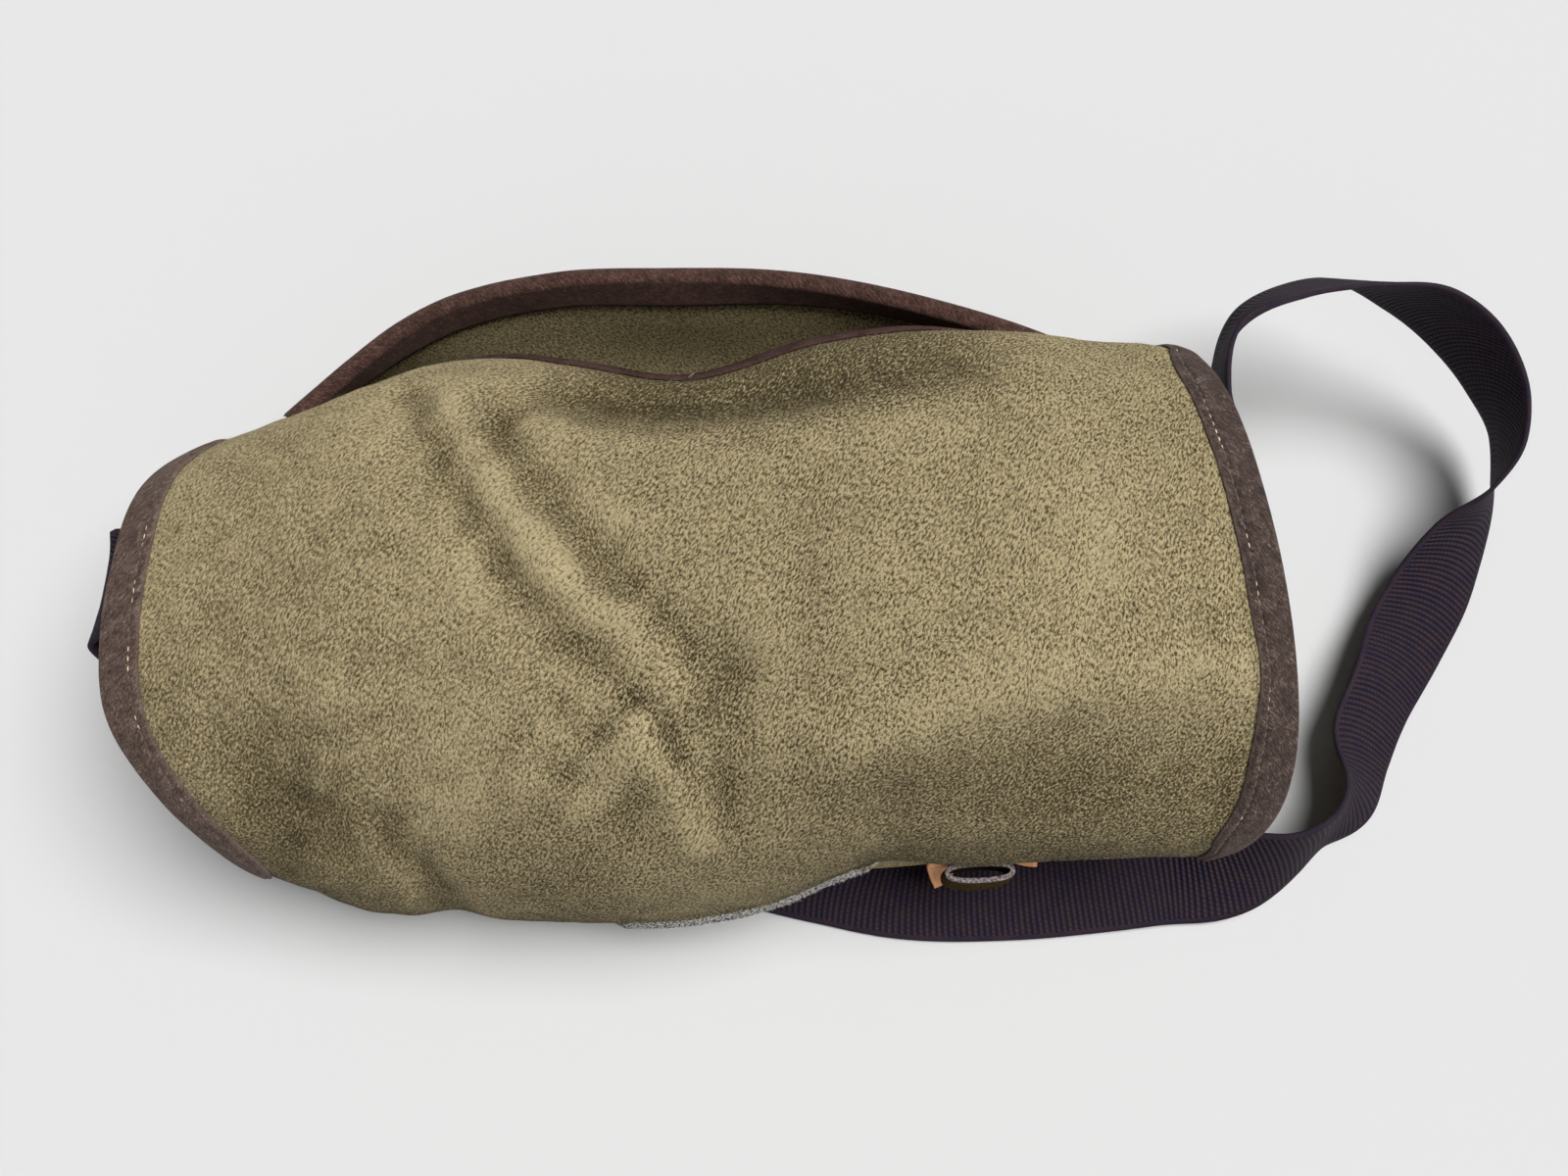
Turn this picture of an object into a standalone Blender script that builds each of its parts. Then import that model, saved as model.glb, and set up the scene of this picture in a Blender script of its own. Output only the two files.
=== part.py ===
"""Hunting game bag: a soft wool shoulder bag that stands on its base under a large domed flap.

Metres, +Z up. The origin is on the underside of the base. X runs along the bag,
the front faces -Y and the back pocket faces +Y.
"""
import math

import bmesh
import bpy
import numpy as np
from mathutils import Vector

# Driving dimensions
SEAM_GAP = 0.0003            # space that sewn pieces keep between them
BINDING_GAP = 0.0005         # space between a cloth and the strip folded over its edge
WOOL = 0.0025                # body wool
FLAP_WOOL = 0.0030           # flap wool, a heavier cloth
SUEDE = 0.0012               # suede of the flap's side bindings
THIN_LEATHER = 0.0008        # leather of the flap's upper binding
LIP_SUEDE = 0.0016           # suede of the pocket's lip
PATCH_LEATHER = 0.0016
LOOP_LEATHER = 0.0022
WEBBING = 0.0018

BASE_HEIGHT = 0.0030         # thickness of the flat bottom
MOUTH_HEIGHT = 0.114         # rim of the open body under the flap
BODY_SQUARENESS = 4.0        # exponent of the rounded rectangle in plan
BODY_ROWS = 9
ROW_SPREAD = 1.25            # above 1, the body's rows lie closer near the floor
PANEL_COLUMNS = 20
GUSSET_COLUMNS = 12
CORNER_GAP = 0.0008          # between a panel and a gusset at their outer faces
CORNER_REACH = 0.16          # from the middle of the body to its corners in plan
BASE_POINTS = 60
MERGE_DISTANCE = 0.00005

FLAP_COLUMNS = 38
FLAP_ROWS = 23
BINDING_WIDTH = 0.014
BINDING_START = 2            # rows of the flap left bare at the back end of each side
STEEPEST_SLANT = 0.4         # least sine of the angle between the cloth's grain and its edge
FOLD_OVER = 0.6              # part of a binding's height that its outermost face keeps
TOP_BINDING_WIDTH = 0.005
TOP_BINDING_END = 2          # columns of the flap left to each side binding
FLAP_LENGTH = 0.26           # from the back edge to the front edge along the cloth
FLAP_SEAT = 0.0041           # from the back panel's face to the middle of the flap's cloth

POCKET_BOTTOM = 0.009        # height at which the pocket's wall is sewn to the back panel
POCKET_ROWS = 7
POCKET_ANGLES = (math.radians(43.5), math.radians(136.5))
POCKET_CLEARANCE = 0.0008
GAPE_POWER = 1.6             # how late the pocket's wall leaves the back panel
LIP_WIDTH = 0.014
LIP_ROUNDNESS = 0.0007       # how far the suede roll stands off the lip
LIP_END = 0.016              # part of the lip left bare at each end

STRAP_WIDTH = 0.040
STRAP_STATIONS = 76

PATCH_MIDDLE_X = 0.1008
PATCH_WIDTH = 0.0425
PATCH_BOTTOM = 0.026
PATCH_TOP = 0.066
PATCH_SEAT = 0.0006          # from the front panel's face to the patch
LOOP_MIDDLE_X = 0.1003
LOOP_WIDTH = 0.027
LOOP_DEPTH = 0.0112
LOOP_BOTTOM = 0.036
LOOP_TOP = 0.056
LOOP_SEGMENTS = 22
LOOP_SEAT = 0.0007           # from the patch to the loop's flat back, at the height below
LOOP_SEAT_HEIGHT = 0.041
LOOP_POWERS = (0.8, 0.62, 0.9)   # roundness of its sides, its back and its front


class Table:
    """Rows of named columns, read as smooth curves over the first column."""

    def __init__(self, names, *rows):
        self.names = names.split()
        self.values = dict(zip(self.names, np.array(rows, dtype=float).T))

    def at(self, name, where):
        """The named column at one place of the first column, through all rows."""
        stops = self.values[self.names[0]]
        values = self.values[name]
        where = min(max(where, stops[0]), stops[-1])
        low = min(int(np.searchsorted(stops, where, side="right")) - 1, len(stops) - 2)
        span = stops[low + 1] - stops[low]
        part = (where - stops[low]) / span
        slopes = np.gradient(values, stops)
        start, end = slopes[low] * span, slopes[low + 1] * span
        rise = values[low + 1] - values[low]
        return float(values[low] + part * (start + part * ((3 * rise - 2 * start - end)
                                                           + part * (start + end - 2 * rise))))


# Outline of the body at each height
BODY_LEVELS = Table(
    "z      half_length  front_y  back_y",
    (0.003, 0.170,       -0.045,  0.098),
    (0.012, 0.180,       -0.065,  0.112),
    (0.030, 0.188,       -0.0785, 0.123),
    (0.050, 0.190,       -0.0785, 0.124),
    (0.075, 0.190,       -0.072,  0.116),
    (0.100, 0.185,       -0.062,  0.106),
    (0.118, 0.180,       -0.055,  0.096),
)

# How far the upper back panel is pushed out or dented in along the bag
BACK_SWAY = Table(
    "x       push",
    (-0.180, -0.0090),
    (-0.150, -0.0110),
    (-0.133, -0.0100),
    (-0.115, -0.0040),
    (-0.095, 0.0035),
    (-0.070, 0.0060),
    (-0.046, 0.0030),
    (-0.004, -0.0050),
    (0.046, 0.0080),
    (0.075, 0.0115),
    (0.108, 0.0090),
    (0.137, 0.0050),
    (0.180, 0.0000),
)
SWAY_START = 0.040           # height where the sway begins, and where it is whole
SWAY_FULL = 0.095
SWAY_HOLD = 1.3              # how far towards the bag's ends the sway keeps its size

# Flap sections along the bag, each a curve from the back edge to the front edge.
# back_out is how far the back edge stands away from the back panel.
FLAP_SECTIONS = Table(
    "station back_out back_z  back_lean  back_rise  front_rise  front_y  front_z",
    (-0.200, 0.0025, 0.090,  0.012,     0.060,     0.098,      -0.0695, 0.055),
    (-0.160, 0.0010, 0.092,  0.008,     0.074,     0.118,      -0.0845, 0.048),
    (-0.110, 0.0000, 0.098,  0.015,     0.080,     0.148,      -0.0905, 0.042),
    (-0.085, 0.0000, 0.103,  0.024,     0.078,     0.154,      -0.0925, 0.041),
    (-0.055, 0.0000, 0.108,  0.033,     0.078,     0.158,      -0.0940, 0.040),
    (-0.005, 0.0000, 0.110,  0.040,     0.080,     0.158,      -0.0930, 0.044),
    (0.055,  0.0000, 0.112,  0.040,     0.076,     0.146,      -0.0815, 0.060),
    (0.090,  0.0000, 0.113,  0.034,     0.072,     0.140,      -0.0835, 0.062),
    (0.130,  0.0000, 0.106,  0.014,     0.070,     0.132,      -0.0820, 0.060),
    (0.165,  0.0035, 0.103,  0.012,     0.056,     0.112,      -0.0820, 0.058),
    (0.200,  0.0140, 0.100,  0.012,     0.048,     0.100,      -0.0810, 0.052),
)
STATION_REACH = 0.200        # station of the flap's side edges
FOLD_START = 1 / FLAP_ROWS   # part of the flap along its sewn edge without folds
FOLD_FULL = 0.15             # where they have their whole height
FRONT_BULGE = 0.002          # how far the flap's front hangs back in towards its edge

# Side edges of the flap in plan, from its back edge (0) to its front edge (1)
FLAP_SIDES = Table(
    "along  left     right",
    (0.00,  -0.1665, 0.1665),
    (0.05,  -0.1780, 0.1830),
    (0.12,  -0.1875, 0.1890),
    (0.20,  -0.1965, 0.1935),
    (0.40,  -0.2040, 0.2005),
    (0.50,  -0.2060, 0.2035),
    (0.62,  -0.2050, 0.2060),
    (0.75,  -0.1925, 0.2070),
    (0.87,  -0.1800, 0.2030),
    (0.95,  -0.1750, 0.1960),
    (1.00,  -0.1735, 0.1890),
)

# Folds of the flap in plan: a soft ridge, or with a negative height a valley
FOLD_NAMES = "start_x start_y end_x end_y spread height".split()
FOLDS = (
    (-0.100, 0.093, -0.062, 0.014, 0.008, -0.0050),
    (-0.062, 0.014, -0.040, -0.011, 0.008, -0.0035),
    (-0.084, 0.080, -0.049, 0.016, 0.007, 0.0035),
    (-0.049, 0.016, -0.008, -0.026, 0.007, 0.0045),
    (-0.066, 0.072, -0.029, 0.012, 0.009, -0.0050),
    (-0.029, 0.012, 0.009, -0.027, 0.010, -0.0050),
    (0.009, -0.027, 0.005, -0.064, 0.010, -0.0040),
    (-0.053, -0.047, -0.019, -0.027, 0.006, -0.0030),
    (-0.056, -0.054, -0.025, -0.038, 0.005, 0.0030),
    (-0.025, -0.038, -0.004, -0.072, 0.005, 0.0030),
    (-0.108, -0.018, -0.036, -0.012, 0.008, -0.0020),
    (0.038, 0.029, 0.044, -0.029, 0.012, -0.0020),
    (-0.150, -0.050, -0.140, -0.052, 0.014, -0.0035),
    (-0.136, -0.056, -0.101, -0.085, 0.008, -0.0030),
    (-0.038, 0.086, 0.040, 0.086, 0.010, -0.0030),
    (0.060, -0.062, 0.170, -0.046, 0.014, -0.0020),
)

# Lip of the back pocket
POCKET_LIP = Table(
    "x       lip_y   lip_z",
    (-0.180, 0.078,  0.080),
    (-0.150, 0.1055, 0.084),
    (-0.105, 0.1382, 0.093),
    (-0.058, 0.1475, 0.100),
    (-0.009, 0.1474, 0.101),
    (0.037, 0.1434,  0.101),
    (0.094, 0.130,   0.097),
    (0.129, 0.1198,  0.089),
    (0.180, 0.094,   0.080),
)

# Shoulder strap, from its end on the right gusset round the floor to the left gusset.
# The middle of the band, and the direction across it from one edge to the other.
STRAP_NAMES = "x y z across_x across_y across_z".split()
STRAP_ROUTE = (
    (0.1915, 0.056, 0.035, -0.06, 1.00, 0.00),
    (0.1925, 0.057, 0.058, -0.10, 0.99, 0.00),
    (0.1970, 0.060, 0.078, -0.25, 0.93, -0.25),
    (0.2000, 0.068, 0.093, -0.25, 0.72, -0.62),
    (0.2010, 0.086, 0.100, 0.10, 0.25, -0.96),
    (0.2075, 0.109, 0.100, 0.02, 0.03, -1.00),
    (0.2265, 0.1265, 0.097, -0.36, 0.28, -0.89),
    (0.2500, 0.136, 0.091, -0.34, 0.44, -0.83),
    (0.2640, 0.139, 0.087, -0.25, 0.48, -0.84),
    (0.2965, 0.135, 0.075, -0.34, 0.26, -0.90),
    (0.3175, 0.124, 0.063, -0.37, 0.27, -0.89),
    (0.3335, 0.1045, 0.050, -0.21, 0.41, -0.89),
    (0.3390, 0.085, 0.040, 0.12, 0.45, -0.89),
    (0.3340, 0.067, 0.031, 0.38, 0.18, -0.91),
    (0.3200, 0.046, 0.0195, 0.68, -0.29, -0.67),
    (0.3080, 0.027, 0.0135, 0.78, -0.46, -0.43),
    (0.2970, 0.0105, 0.0105, 0.78, -0.49, -0.38),
    (0.2810, -0.0150, 0.0130, 0.73, -0.38, -0.57),
    (0.2690, -0.0365, 0.0140, 0.73, -0.32, -0.60),
    (0.2625, -0.0575, 0.0183, 0.50, -0.33, -0.80),
    (0.2480, -0.0720, 0.0208, 0.20, -0.18, -0.96),
    (0.2330, -0.0810, 0.0197, 0.15, -0.35, -0.90),
    (0.2180, -0.0850, 0.0165, 0.10, -0.62, -0.72),
    (0.2020, -0.0865, 0.0110, 0.05, -0.85, -0.44),
    (0.1850, -0.0855, 0.0040, 0.00, -0.99, -0.10),
    (0.1600, -0.0870, 0.0021, 0.00, -1.00, 0.00),
    (0.1200, -0.0885, 0.0014, 0.00, -1.00, 0.00),
    (0.0725, -0.0855, 0.0013, 0.00, -1.00, 0.00),
    (0.0400, -0.0775, 0.0013, 0.00, -1.00, 0.00),
    (0.0090, -0.0695, 0.0013, 0.00, -1.00, 0.00),
    (-0.0400, -0.0680, 0.0013, 0.00, -1.00, 0.00),
    (-0.0900, -0.0670, 0.0014, 0.00, -1.00, 0.00),
    (-0.1350, -0.0590, 0.0026, 0.00, -1.00, 0.00),
    (-0.1700, -0.0500, 0.0068, -0.20, -0.97, 0.15),
    (-0.1950, -0.0360, 0.0200, -0.30, -0.80, 0.45),
    (-0.2060, -0.0140, 0.0420, -0.20, -0.85, 0.45),
    (-0.2120, 0.0100, 0.0700, -0.10, -0.95, 0.25),
    (-0.2175, 0.0230, 0.0940, -0.10, -1.00, 0.00),
    (-0.2180, 0.0280, 0.1080, -0.14, -1.00, 0.00),
    (-0.2115, 0.0300, 0.1160, -0.12, -1.00, 0.00),
    (-0.2025, 0.0300, 0.1110, -0.08, -1.00, 0.00),
    (-0.1945, 0.0300, 0.0930, 0.00, -1.00, 0.00),
    (-0.1925, 0.0300, 0.0650, 0.00, -1.00, 0.00),
    (-0.1925, 0.0300, 0.0400, 0.00, -1.00, 0.00),
)


def back_push(x, z, depth_part):
    """How far the back wall is pushed out at one place, fading towards the bag's ends."""
    whole = min(max((z - SWAY_START) / (SWAY_FULL - SWAY_START), 0), 1)
    fade = min(max(SWAY_HOLD * depth_part, 0), 1) ** 2
    return BACK_SWAY.at("push", x) * whole * whole * (3 - 2 * whole) * fade


def body_outline(angle, z):
    """Outer face of the body: a rounded rectangle in plan, dented along its upper back."""
    front, back = BODY_LEVELS.at("front_y", z), BODY_LEVELS.at("back_y", z)
    across, away = math.cos(angle), math.sin(angle)
    reach = (abs(across) ** BODY_SQUARENESS + abs(away) ** BODY_SQUARENESS) ** (-1 / BODY_SQUARENESS)
    x = BODY_LEVELS.at("half_length", z) * reach * across
    y = (front + back) / 2 + (back - front) / 2 * reach * away
    return Vector((x, y + back_push(x, z, reach * away), z))


def body_side(x, z, side):
    """Outer face of the front (side -1) or back (side 1) wall at one x."""
    front, back = BODY_LEVELS.at("front_y", z), BODY_LEVELS.at("back_y", z)
    filled = max(1 - abs(x / BODY_LEVELS.at("half_length", z)) ** BODY_SQUARENESS, 0.01)
    depth_part = side * filled ** (1 / BODY_SQUARENESS)
    y = (front + back) / 2 + (back - front) / 2 * depth_part
    return Vector((x, y + back_push(x, z, depth_part), z))


def wall_height(part):
    """Height of a place on the body's walls, from their bottom (0) to the mouth (1)."""
    bottom = BASE_HEIGHT + SEAM_GAP
    return bottom + (MOUTH_HEIGHT - bottom) * part ** ROW_SPREAD


def normal_of(place, across, along, step=0.002):
    """Unit normal of a surface given as a function of two values from 0 to 1."""
    right = place(across + step, along) - place(across - step, along)
    up = place(across, along + step) - place(across, along - step)
    return right.cross(up).normalized()


def flap_smooth(across, along):
    """Middle of the flap's cloth without its folds; along runs from the back to the front."""
    left, right = FLAP_SIDES.at("left", along), FLAP_SIDES.at("right", along)
    x = left + (right - left) * across
    station = (2 * across - 1) * STATION_REACH
    back_x = FLAP_SIDES.at("right", 0) * (2 * across - 1)
    back_z = FLAP_SECTIONS.at("back_z", station)
    back_y = body_side(back_x, back_z, 1).y + FLAP_SEAT + FLAP_SECTIONS.at("back_out", station)
    front_y, front_z = FLAP_SECTIONS.at("front_y", station), FLAP_SECTIONS.at("front_z", station)
    corners = (
        (back_y, back_z),
        (back_y - FLAP_SECTIONS.at("back_lean", station), back_z + FLAP_SECTIONS.at("back_rise", station)),
        (front_y + FRONT_BULGE, front_z + FLAP_SECTIONS.at("front_rise", station)),
        (front_y, front_z),
    )
    back = 1 - along
    weights = (back ** 3, 3 * back * back * along, 3 * back * along * along, along ** 3)
    y = sum(weight * corner[0] for weight, corner in zip(weights, corners))
    z = sum(weight * corner[1] for weight, corner in zip(weights, corners))
    return Vector((x, y, z))


def fold_height(x, y):
    """Height of all folds at one place in plan."""
    total = 0.0
    for row in FOLDS:
        fold = dict(zip(FOLD_NAMES, row))
        run_x, run_y = fold["end_x"] - fold["start_x"], fold["end_y"] - fold["start_y"]
        part = ((x - fold["start_x"]) * run_x + (y - fold["start_y"]) * run_y) / (run_x ** 2 + run_y ** 2)
        part = min(max(part, 0), 1)
        away = math.hypot(x - fold["start_x"] - part * run_x, y - fold["start_y"] - part * run_y)
        total += fold["height"] * math.exp(-(away / fold["spread"]) ** 2 / 2)
    return total


def flap_surface(across, along):
    """Middle of the flap's cloth with its folds."""
    place = flap_smooth(across, along)
    outward = -normal_of(flap_smooth, across, along)
    grown = min(max((along - FOLD_START) / (FOLD_FULL - FOLD_START), 0), 1)
    return place + outward * fold_height(place.x, place.y) * grown


def pocket_surface(across, along):
    """Inner face of the pocket's wall; across runs from the right end to the left."""
    angle = POCKET_ANGLES[0] + (POCKET_ANGLES[1] - POCKET_ANGLES[0]) * across
    lip_x = body_outline(angle, POCKET_LIP.at("lip_z", 0)).x
    lip_z = POCKET_LIP.at("lip_z", lip_x)
    z = POCKET_BOTTOM + (lip_z - POCKET_BOTTOM) * along
    place = body_outline(angle, z)
    outward = normal_of(body_outline, angle, z)
    gape = max(POCKET_LIP.at("lip_y", lip_x) - body_outline(angle, lip_z).y - POCKET_CLEARANCE, 0)
    return place + outward * POCKET_CLEARANCE + Vector((0, gape * max(along, 0) ** GAPE_POWER, 0))


def part_collection(name):
    collection = bpy.data.collections.new(name)
    bpy.context.scene.collection.children.link(collection)
    return collection


def make_material(name, colour, roughness, metallic=0.0):
    material = bpy.data.materials.new(name)
    material.use_nodes = True
    principled = material.node_tree.nodes["Principled BSDF"]
    principled.inputs["Base Color"].default_value = (*colour, 1.0)
    principled.inputs["Roughness"].default_value = roughness
    principled.inputs["Metallic"].default_value = metallic
    return material


def add_object(name, bm, material, collection):
    mesh = bpy.data.meshes.new(name)
    bm.to_mesh(mesh)
    bm.free()
    mesh.shade_smooth()
    mesh.materials.append(material)
    thing = bpy.data.objects.new(name, mesh)
    collection.objects.link(thing)
    return thing


def make_sheet(name, columns, rows, place, material, collection, thickness, side):
    """A sheet of cloth through place(across, along), thickened to one side or to both (0)."""
    bm = bmesh.new()
    bmesh.ops.create_grid(bm, x_segments=columns, y_segments=rows, size=0.5)
    for vert in bm.verts:
        vert.co = place(vert.co.x + 0.5, vert.co.y + 0.5)
    thing = add_object(name, bm, material, collection)
    solidify = thing.modifiers.new("cloth", "SOLIDIFY")
    solidify.thickness = thickness
    solidify.offset = side
    return thing


def make_wall(name, start, end, columns, material, collection):
    """One panel of the body between two angles of its outline."""
    trim = CORNER_GAP / 2 / CORNER_REACH

    def place(across, along):
        angle = start + trim + (end - start - 2 * trim) * across
        return body_outline(angle, wall_height(along))

    return make_sheet(name, columns, BODY_ROWS, place, material, collection, WOOL, -1)


def make_base(material, collection):
    """Flat bottom of the bag, extruded from the body's lowest outline."""
    bm = bmesh.new()
    bmesh.ops.create_circle(bm, cap_ends=True, segments=BASE_POINTS, radius=1.0)
    for vert in bm.verts:
        angle = math.atan2(vert.co.y, vert.co.x)
        outline = body_outline(angle, BASE_HEIGHT)
        vert.co = (outline.x, outline.y, 0)
    grown = bmesh.ops.extrude_face_region(bm, geom=bm.faces[:])
    raised = [item for item in grown["geom"] if isinstance(item, bmesh.types.BMVert)]
    bmesh.ops.translate(bm, verts=raised, vec=(0, 0, BASE_HEIGHT))
    bmesh.ops.recalc_face_normals(bm, faces=bm.faces)
    return add_object("base_panel", bm, material, collection)


def make_binding(name, section, rows, surface, leather, material, collection):
    """A strip folded over a sheet's edge.

    section holds (inboard, offset) pairs across the strip, and surface(inboard, along)
    gives a point of the sheet's middle and its normal.
    """
    def place(across, along):
        step = min(int(across * (len(section) - 1) + 0.5), len(section) - 1)
        inboard, offset = section[step]
        point, normal = surface(inboard, along)
        return point + normal * offset

    return make_sheet(name, len(section) - 1, rows, place, material, collection, leather, 0)


def folded_section(width, cloth, leather, roundness=0.0):
    """Section of a strip folded over an edge, from its upper free edge round to its lower one."""
    offset = cloth / 2 + BINDING_GAP + leather / 2
    full = offset + roundness
    corner = -BINDING_GAP
    beyond = corner - leather / 2 - SEAM_GAP
    return (
        (width, offset), (width / 2, full), (corner, full), (beyond, full * FOLD_OVER),
        (beyond, -full * FOLD_OVER), (corner, -full), (width / 2, -full), (width, -offset),
    )


def make_flap_pieces(wool, suede, dark_leather, collection):
    """The flap and the strips folded over its two sides and its upper edge."""
    make_sheet("flap", FLAP_COLUMNS, FLAP_ROWS, flap_surface, wool, collection, FLAP_WOOL, 0)
    section = folded_section(BINDING_WIDTH, FLAP_WOOL, SUEDE)

    def side_edge(side, inboard, part):
        along = (BINDING_START + (FLAP_ROWS - BINDING_START) * part) / FLAP_ROWS
        step = 0.001
        cloth = flap_surface(side + step, along) - flap_surface(side - step, along)
        edge = flap_surface(side, along + step) - flap_surface(side, along - step)
        slant = max(cloth.normalized().cross(edge.normalized()).length, STEEPEST_SLANT)
        inward = inboard / slant * 2 * step / cloth.length
        across = side + (1 - 2 * side) * inward
        return flap_surface(across, along), normal_of(flap_surface, across, along)

    def left_edge(inboard, along):
        return side_edge(0, inboard, along)

    def right_edge(inboard, along):
        return side_edge(1, inboard, along)

    def upper_edge(inboard, along):
        across = (TOP_BINDING_END + (FLAP_COLUMNS - 2 * TOP_BINDING_END) * along) / FLAP_COLUMNS
        down = inboard / FLAP_LENGTH
        return flap_surface(across, down), normal_of(flap_surface, across, down)

    rows = FLAP_ROWS - BINDING_START
    make_binding("flap_binding_left", section, rows, left_edge, SUEDE, suede, collection)
    make_binding("flap_binding_right", section, rows, right_edge, SUEDE, suede, collection)
    thin = folded_section(TOP_BINDING_WIDTH, FLAP_WOOL, THIN_LEATHER)
    thin = [place for place in thin if place[0] != TOP_BINDING_WIDTH / 2]
    rows = FLAP_COLUMNS - 2 * TOP_BINDING_END
    make_binding("flap_top_binding", thin, rows, upper_edge, THIN_LEATHER, dark_leather, collection)


def make_pocket_pieces(wool, lip_suede, collection):
    """The gaping back pocket and the suede roll round its lip."""
    make_sheet("back_pocket", PANEL_COLUMNS, POCKET_ROWS, pocket_surface, wool, collection, WOOL, 1)

    def lip_edge(inboard, along):
        across = LIP_END + (1 - 2 * LIP_END) * along
        up = 1 - inboard / (POCKET_LIP.at("lip_z", 0) - POCKET_BOTTOM)
        normal = normal_of(pocket_surface, across, up)
        return pocket_surface(across, up) + normal * WOOL / 2, normal

    section = folded_section(LIP_WIDTH, WOOL, LIP_SUEDE, roundness=LIP_ROUNDNESS)
    make_binding("back_pocket_binding", section, PANEL_COLUMNS, lip_edge, LIP_SUEDE, lip_suede, collection)


def strap_column(name):
    place = STRAP_NAMES.index(name)
    return [row[place] for row in STRAP_ROUTE]


def make_strap(webbing, collection):
    """Webbing band along its route, turned about its own length as it lies."""
    corners = np.array([strap_column("x"), strap_column("y"), strap_column("z")]).T
    steps = np.linalg.norm(np.diff(corners, axis=0), axis=1)
    lengths = np.concatenate(([0.0], np.cumsum(steps))) / steps.sum()
    curves = Table("length " + " ".join(STRAP_NAMES), *[
        (length, *row) for length, row in zip(lengths, STRAP_ROUTE)])

    def middle(along):
        return Vector([curves.at(name, along) for name in ("x", "y", "z")])

    def place(across, along):
        ahead = (middle(min(along + 0.002, 1)) - middle(max(along - 0.002, 0))).normalized()
        edge = Vector([curves.at(name, along) for name in ("across_x", "across_y", "across_z")])
        edge = (edge - ahead * edge.dot(ahead)).normalized()
        return middle(along) + edge * (across - 0.5) * STRAP_WIDTH

    make_sheet("shoulder_strap", 2, STRAP_STATIONS, place, webbing, collection, WEBBING, 0)


def make_closure(tan_leather, dark_leather, collection):
    """Leather patch on the front panel and the keeper loop that stands out from it."""
    def front_face(x, z, out):
        """A point out in front of the front panel."""
        return body_side(x, z, -1) - Vector((0, out, 0))

    def patch(across, along):
        x = PATCH_MIDDLE_X + PATCH_WIDTH * (across - 0.5)
        z = PATCH_BOTTOM + (PATCH_TOP - PATCH_BOTTOM) * along
        return front_face(x, z, PATCH_SEAT)

    make_sheet("closure_patch", 6, 6, patch, tan_leather, collection, PATCH_LEATHER, 1)

    width = (LOOP_WIDTH - LOOP_LEATHER) / 2
    depth = (LOOP_DEPTH - LOOP_LEATHER) / 2
    seat = PATCH_SEAT + PATCH_LEATHER + LOOP_SEAT + LOOP_LEATHER / 2
    side_power, back_power, front_power = LOOP_POWERS
    bm = bmesh.new()
    bmesh.ops.create_grid(bm, x_segments=LOOP_SEGMENTS, y_segments=2, size=0.5)
    for vert in bm.verts:
        turn = 2 * math.pi * (vert.co.x + 0.5)
        z = LOOP_BOTTOM + (LOOP_TOP - LOOP_BOTTOM) * (vert.co.y + 0.5)
        across, away = math.cos(turn), math.sin(turn)
        sideways = math.copysign(abs(across) ** side_power, across) * width
        proud = math.copysign(abs(away) ** (back_power if away < 0 else front_power), away) * depth
        place = front_face(LOOP_MIDDLE_X + sideways, LOOP_SEAT_HEIGHT, seat + depth + proud)
        vert.co = (place.x, place.y, z)
    bmesh.ops.remove_doubles(bm, verts=bm.verts, dist=MERGE_DISTANCE)
    loop = add_object("closure_loop", bm, dark_leather, collection)
    solidify = loop.modifiers.new("leather", "SOLIDIFY")
    solidify.thickness = LOOP_LEATHER
    solidify.offset = 0


def build():
    for thing in list(bpy.data.objects):
        bpy.data.objects.remove(thing)
    collection = part_collection("hunting_game_bag")
    wool = make_material("olive_wool", (0.29, 0.24, 0.13), 0.95)
    suede = make_material("brown_suede", (0.085, 0.058, 0.048), 0.9)
    lip_suede = make_material("dark_suede", (0.065, 0.032, 0.024), 0.85)
    dark_leather = make_material("dark_leather", (0.03, 0.014, 0.01), 0.6)
    tan_leather = make_material("tan_leather", (0.47, 0.21, 0.07), 0.6)
    green_leather = make_material("dark_green_leather", (0.014, 0.011, 0.006), 0.5)
    webbing = make_material("black_webbing", (0.019, 0.013, 0.020), 0.7)

    corner = math.radians(45)
    make_wall("front_panel", 5 * corner, 7 * corner, PANEL_COLUMNS, wool, collection)
    make_wall("back_panel", corner, 3 * corner, PANEL_COLUMNS, wool, collection)
    make_wall("gusset_right", -corner, corner, GUSSET_COLUMNS, wool, collection)
    make_wall("gusset_left", 3 * corner, 5 * corner, GUSSET_COLUMNS, wool, collection)
    make_base(wool, collection)
    make_flap_pieces(wool, suede, dark_leather, collection)
    make_pocket_pieces(wool, lip_suede, collection)
    make_strap(webbing, collection)
    make_closure(tan_leather, green_leather, collection)


build()
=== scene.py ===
import math

import bmesh
import bpy
import numpy as np
from mathutils import Matrix, Vector, noise


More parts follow.
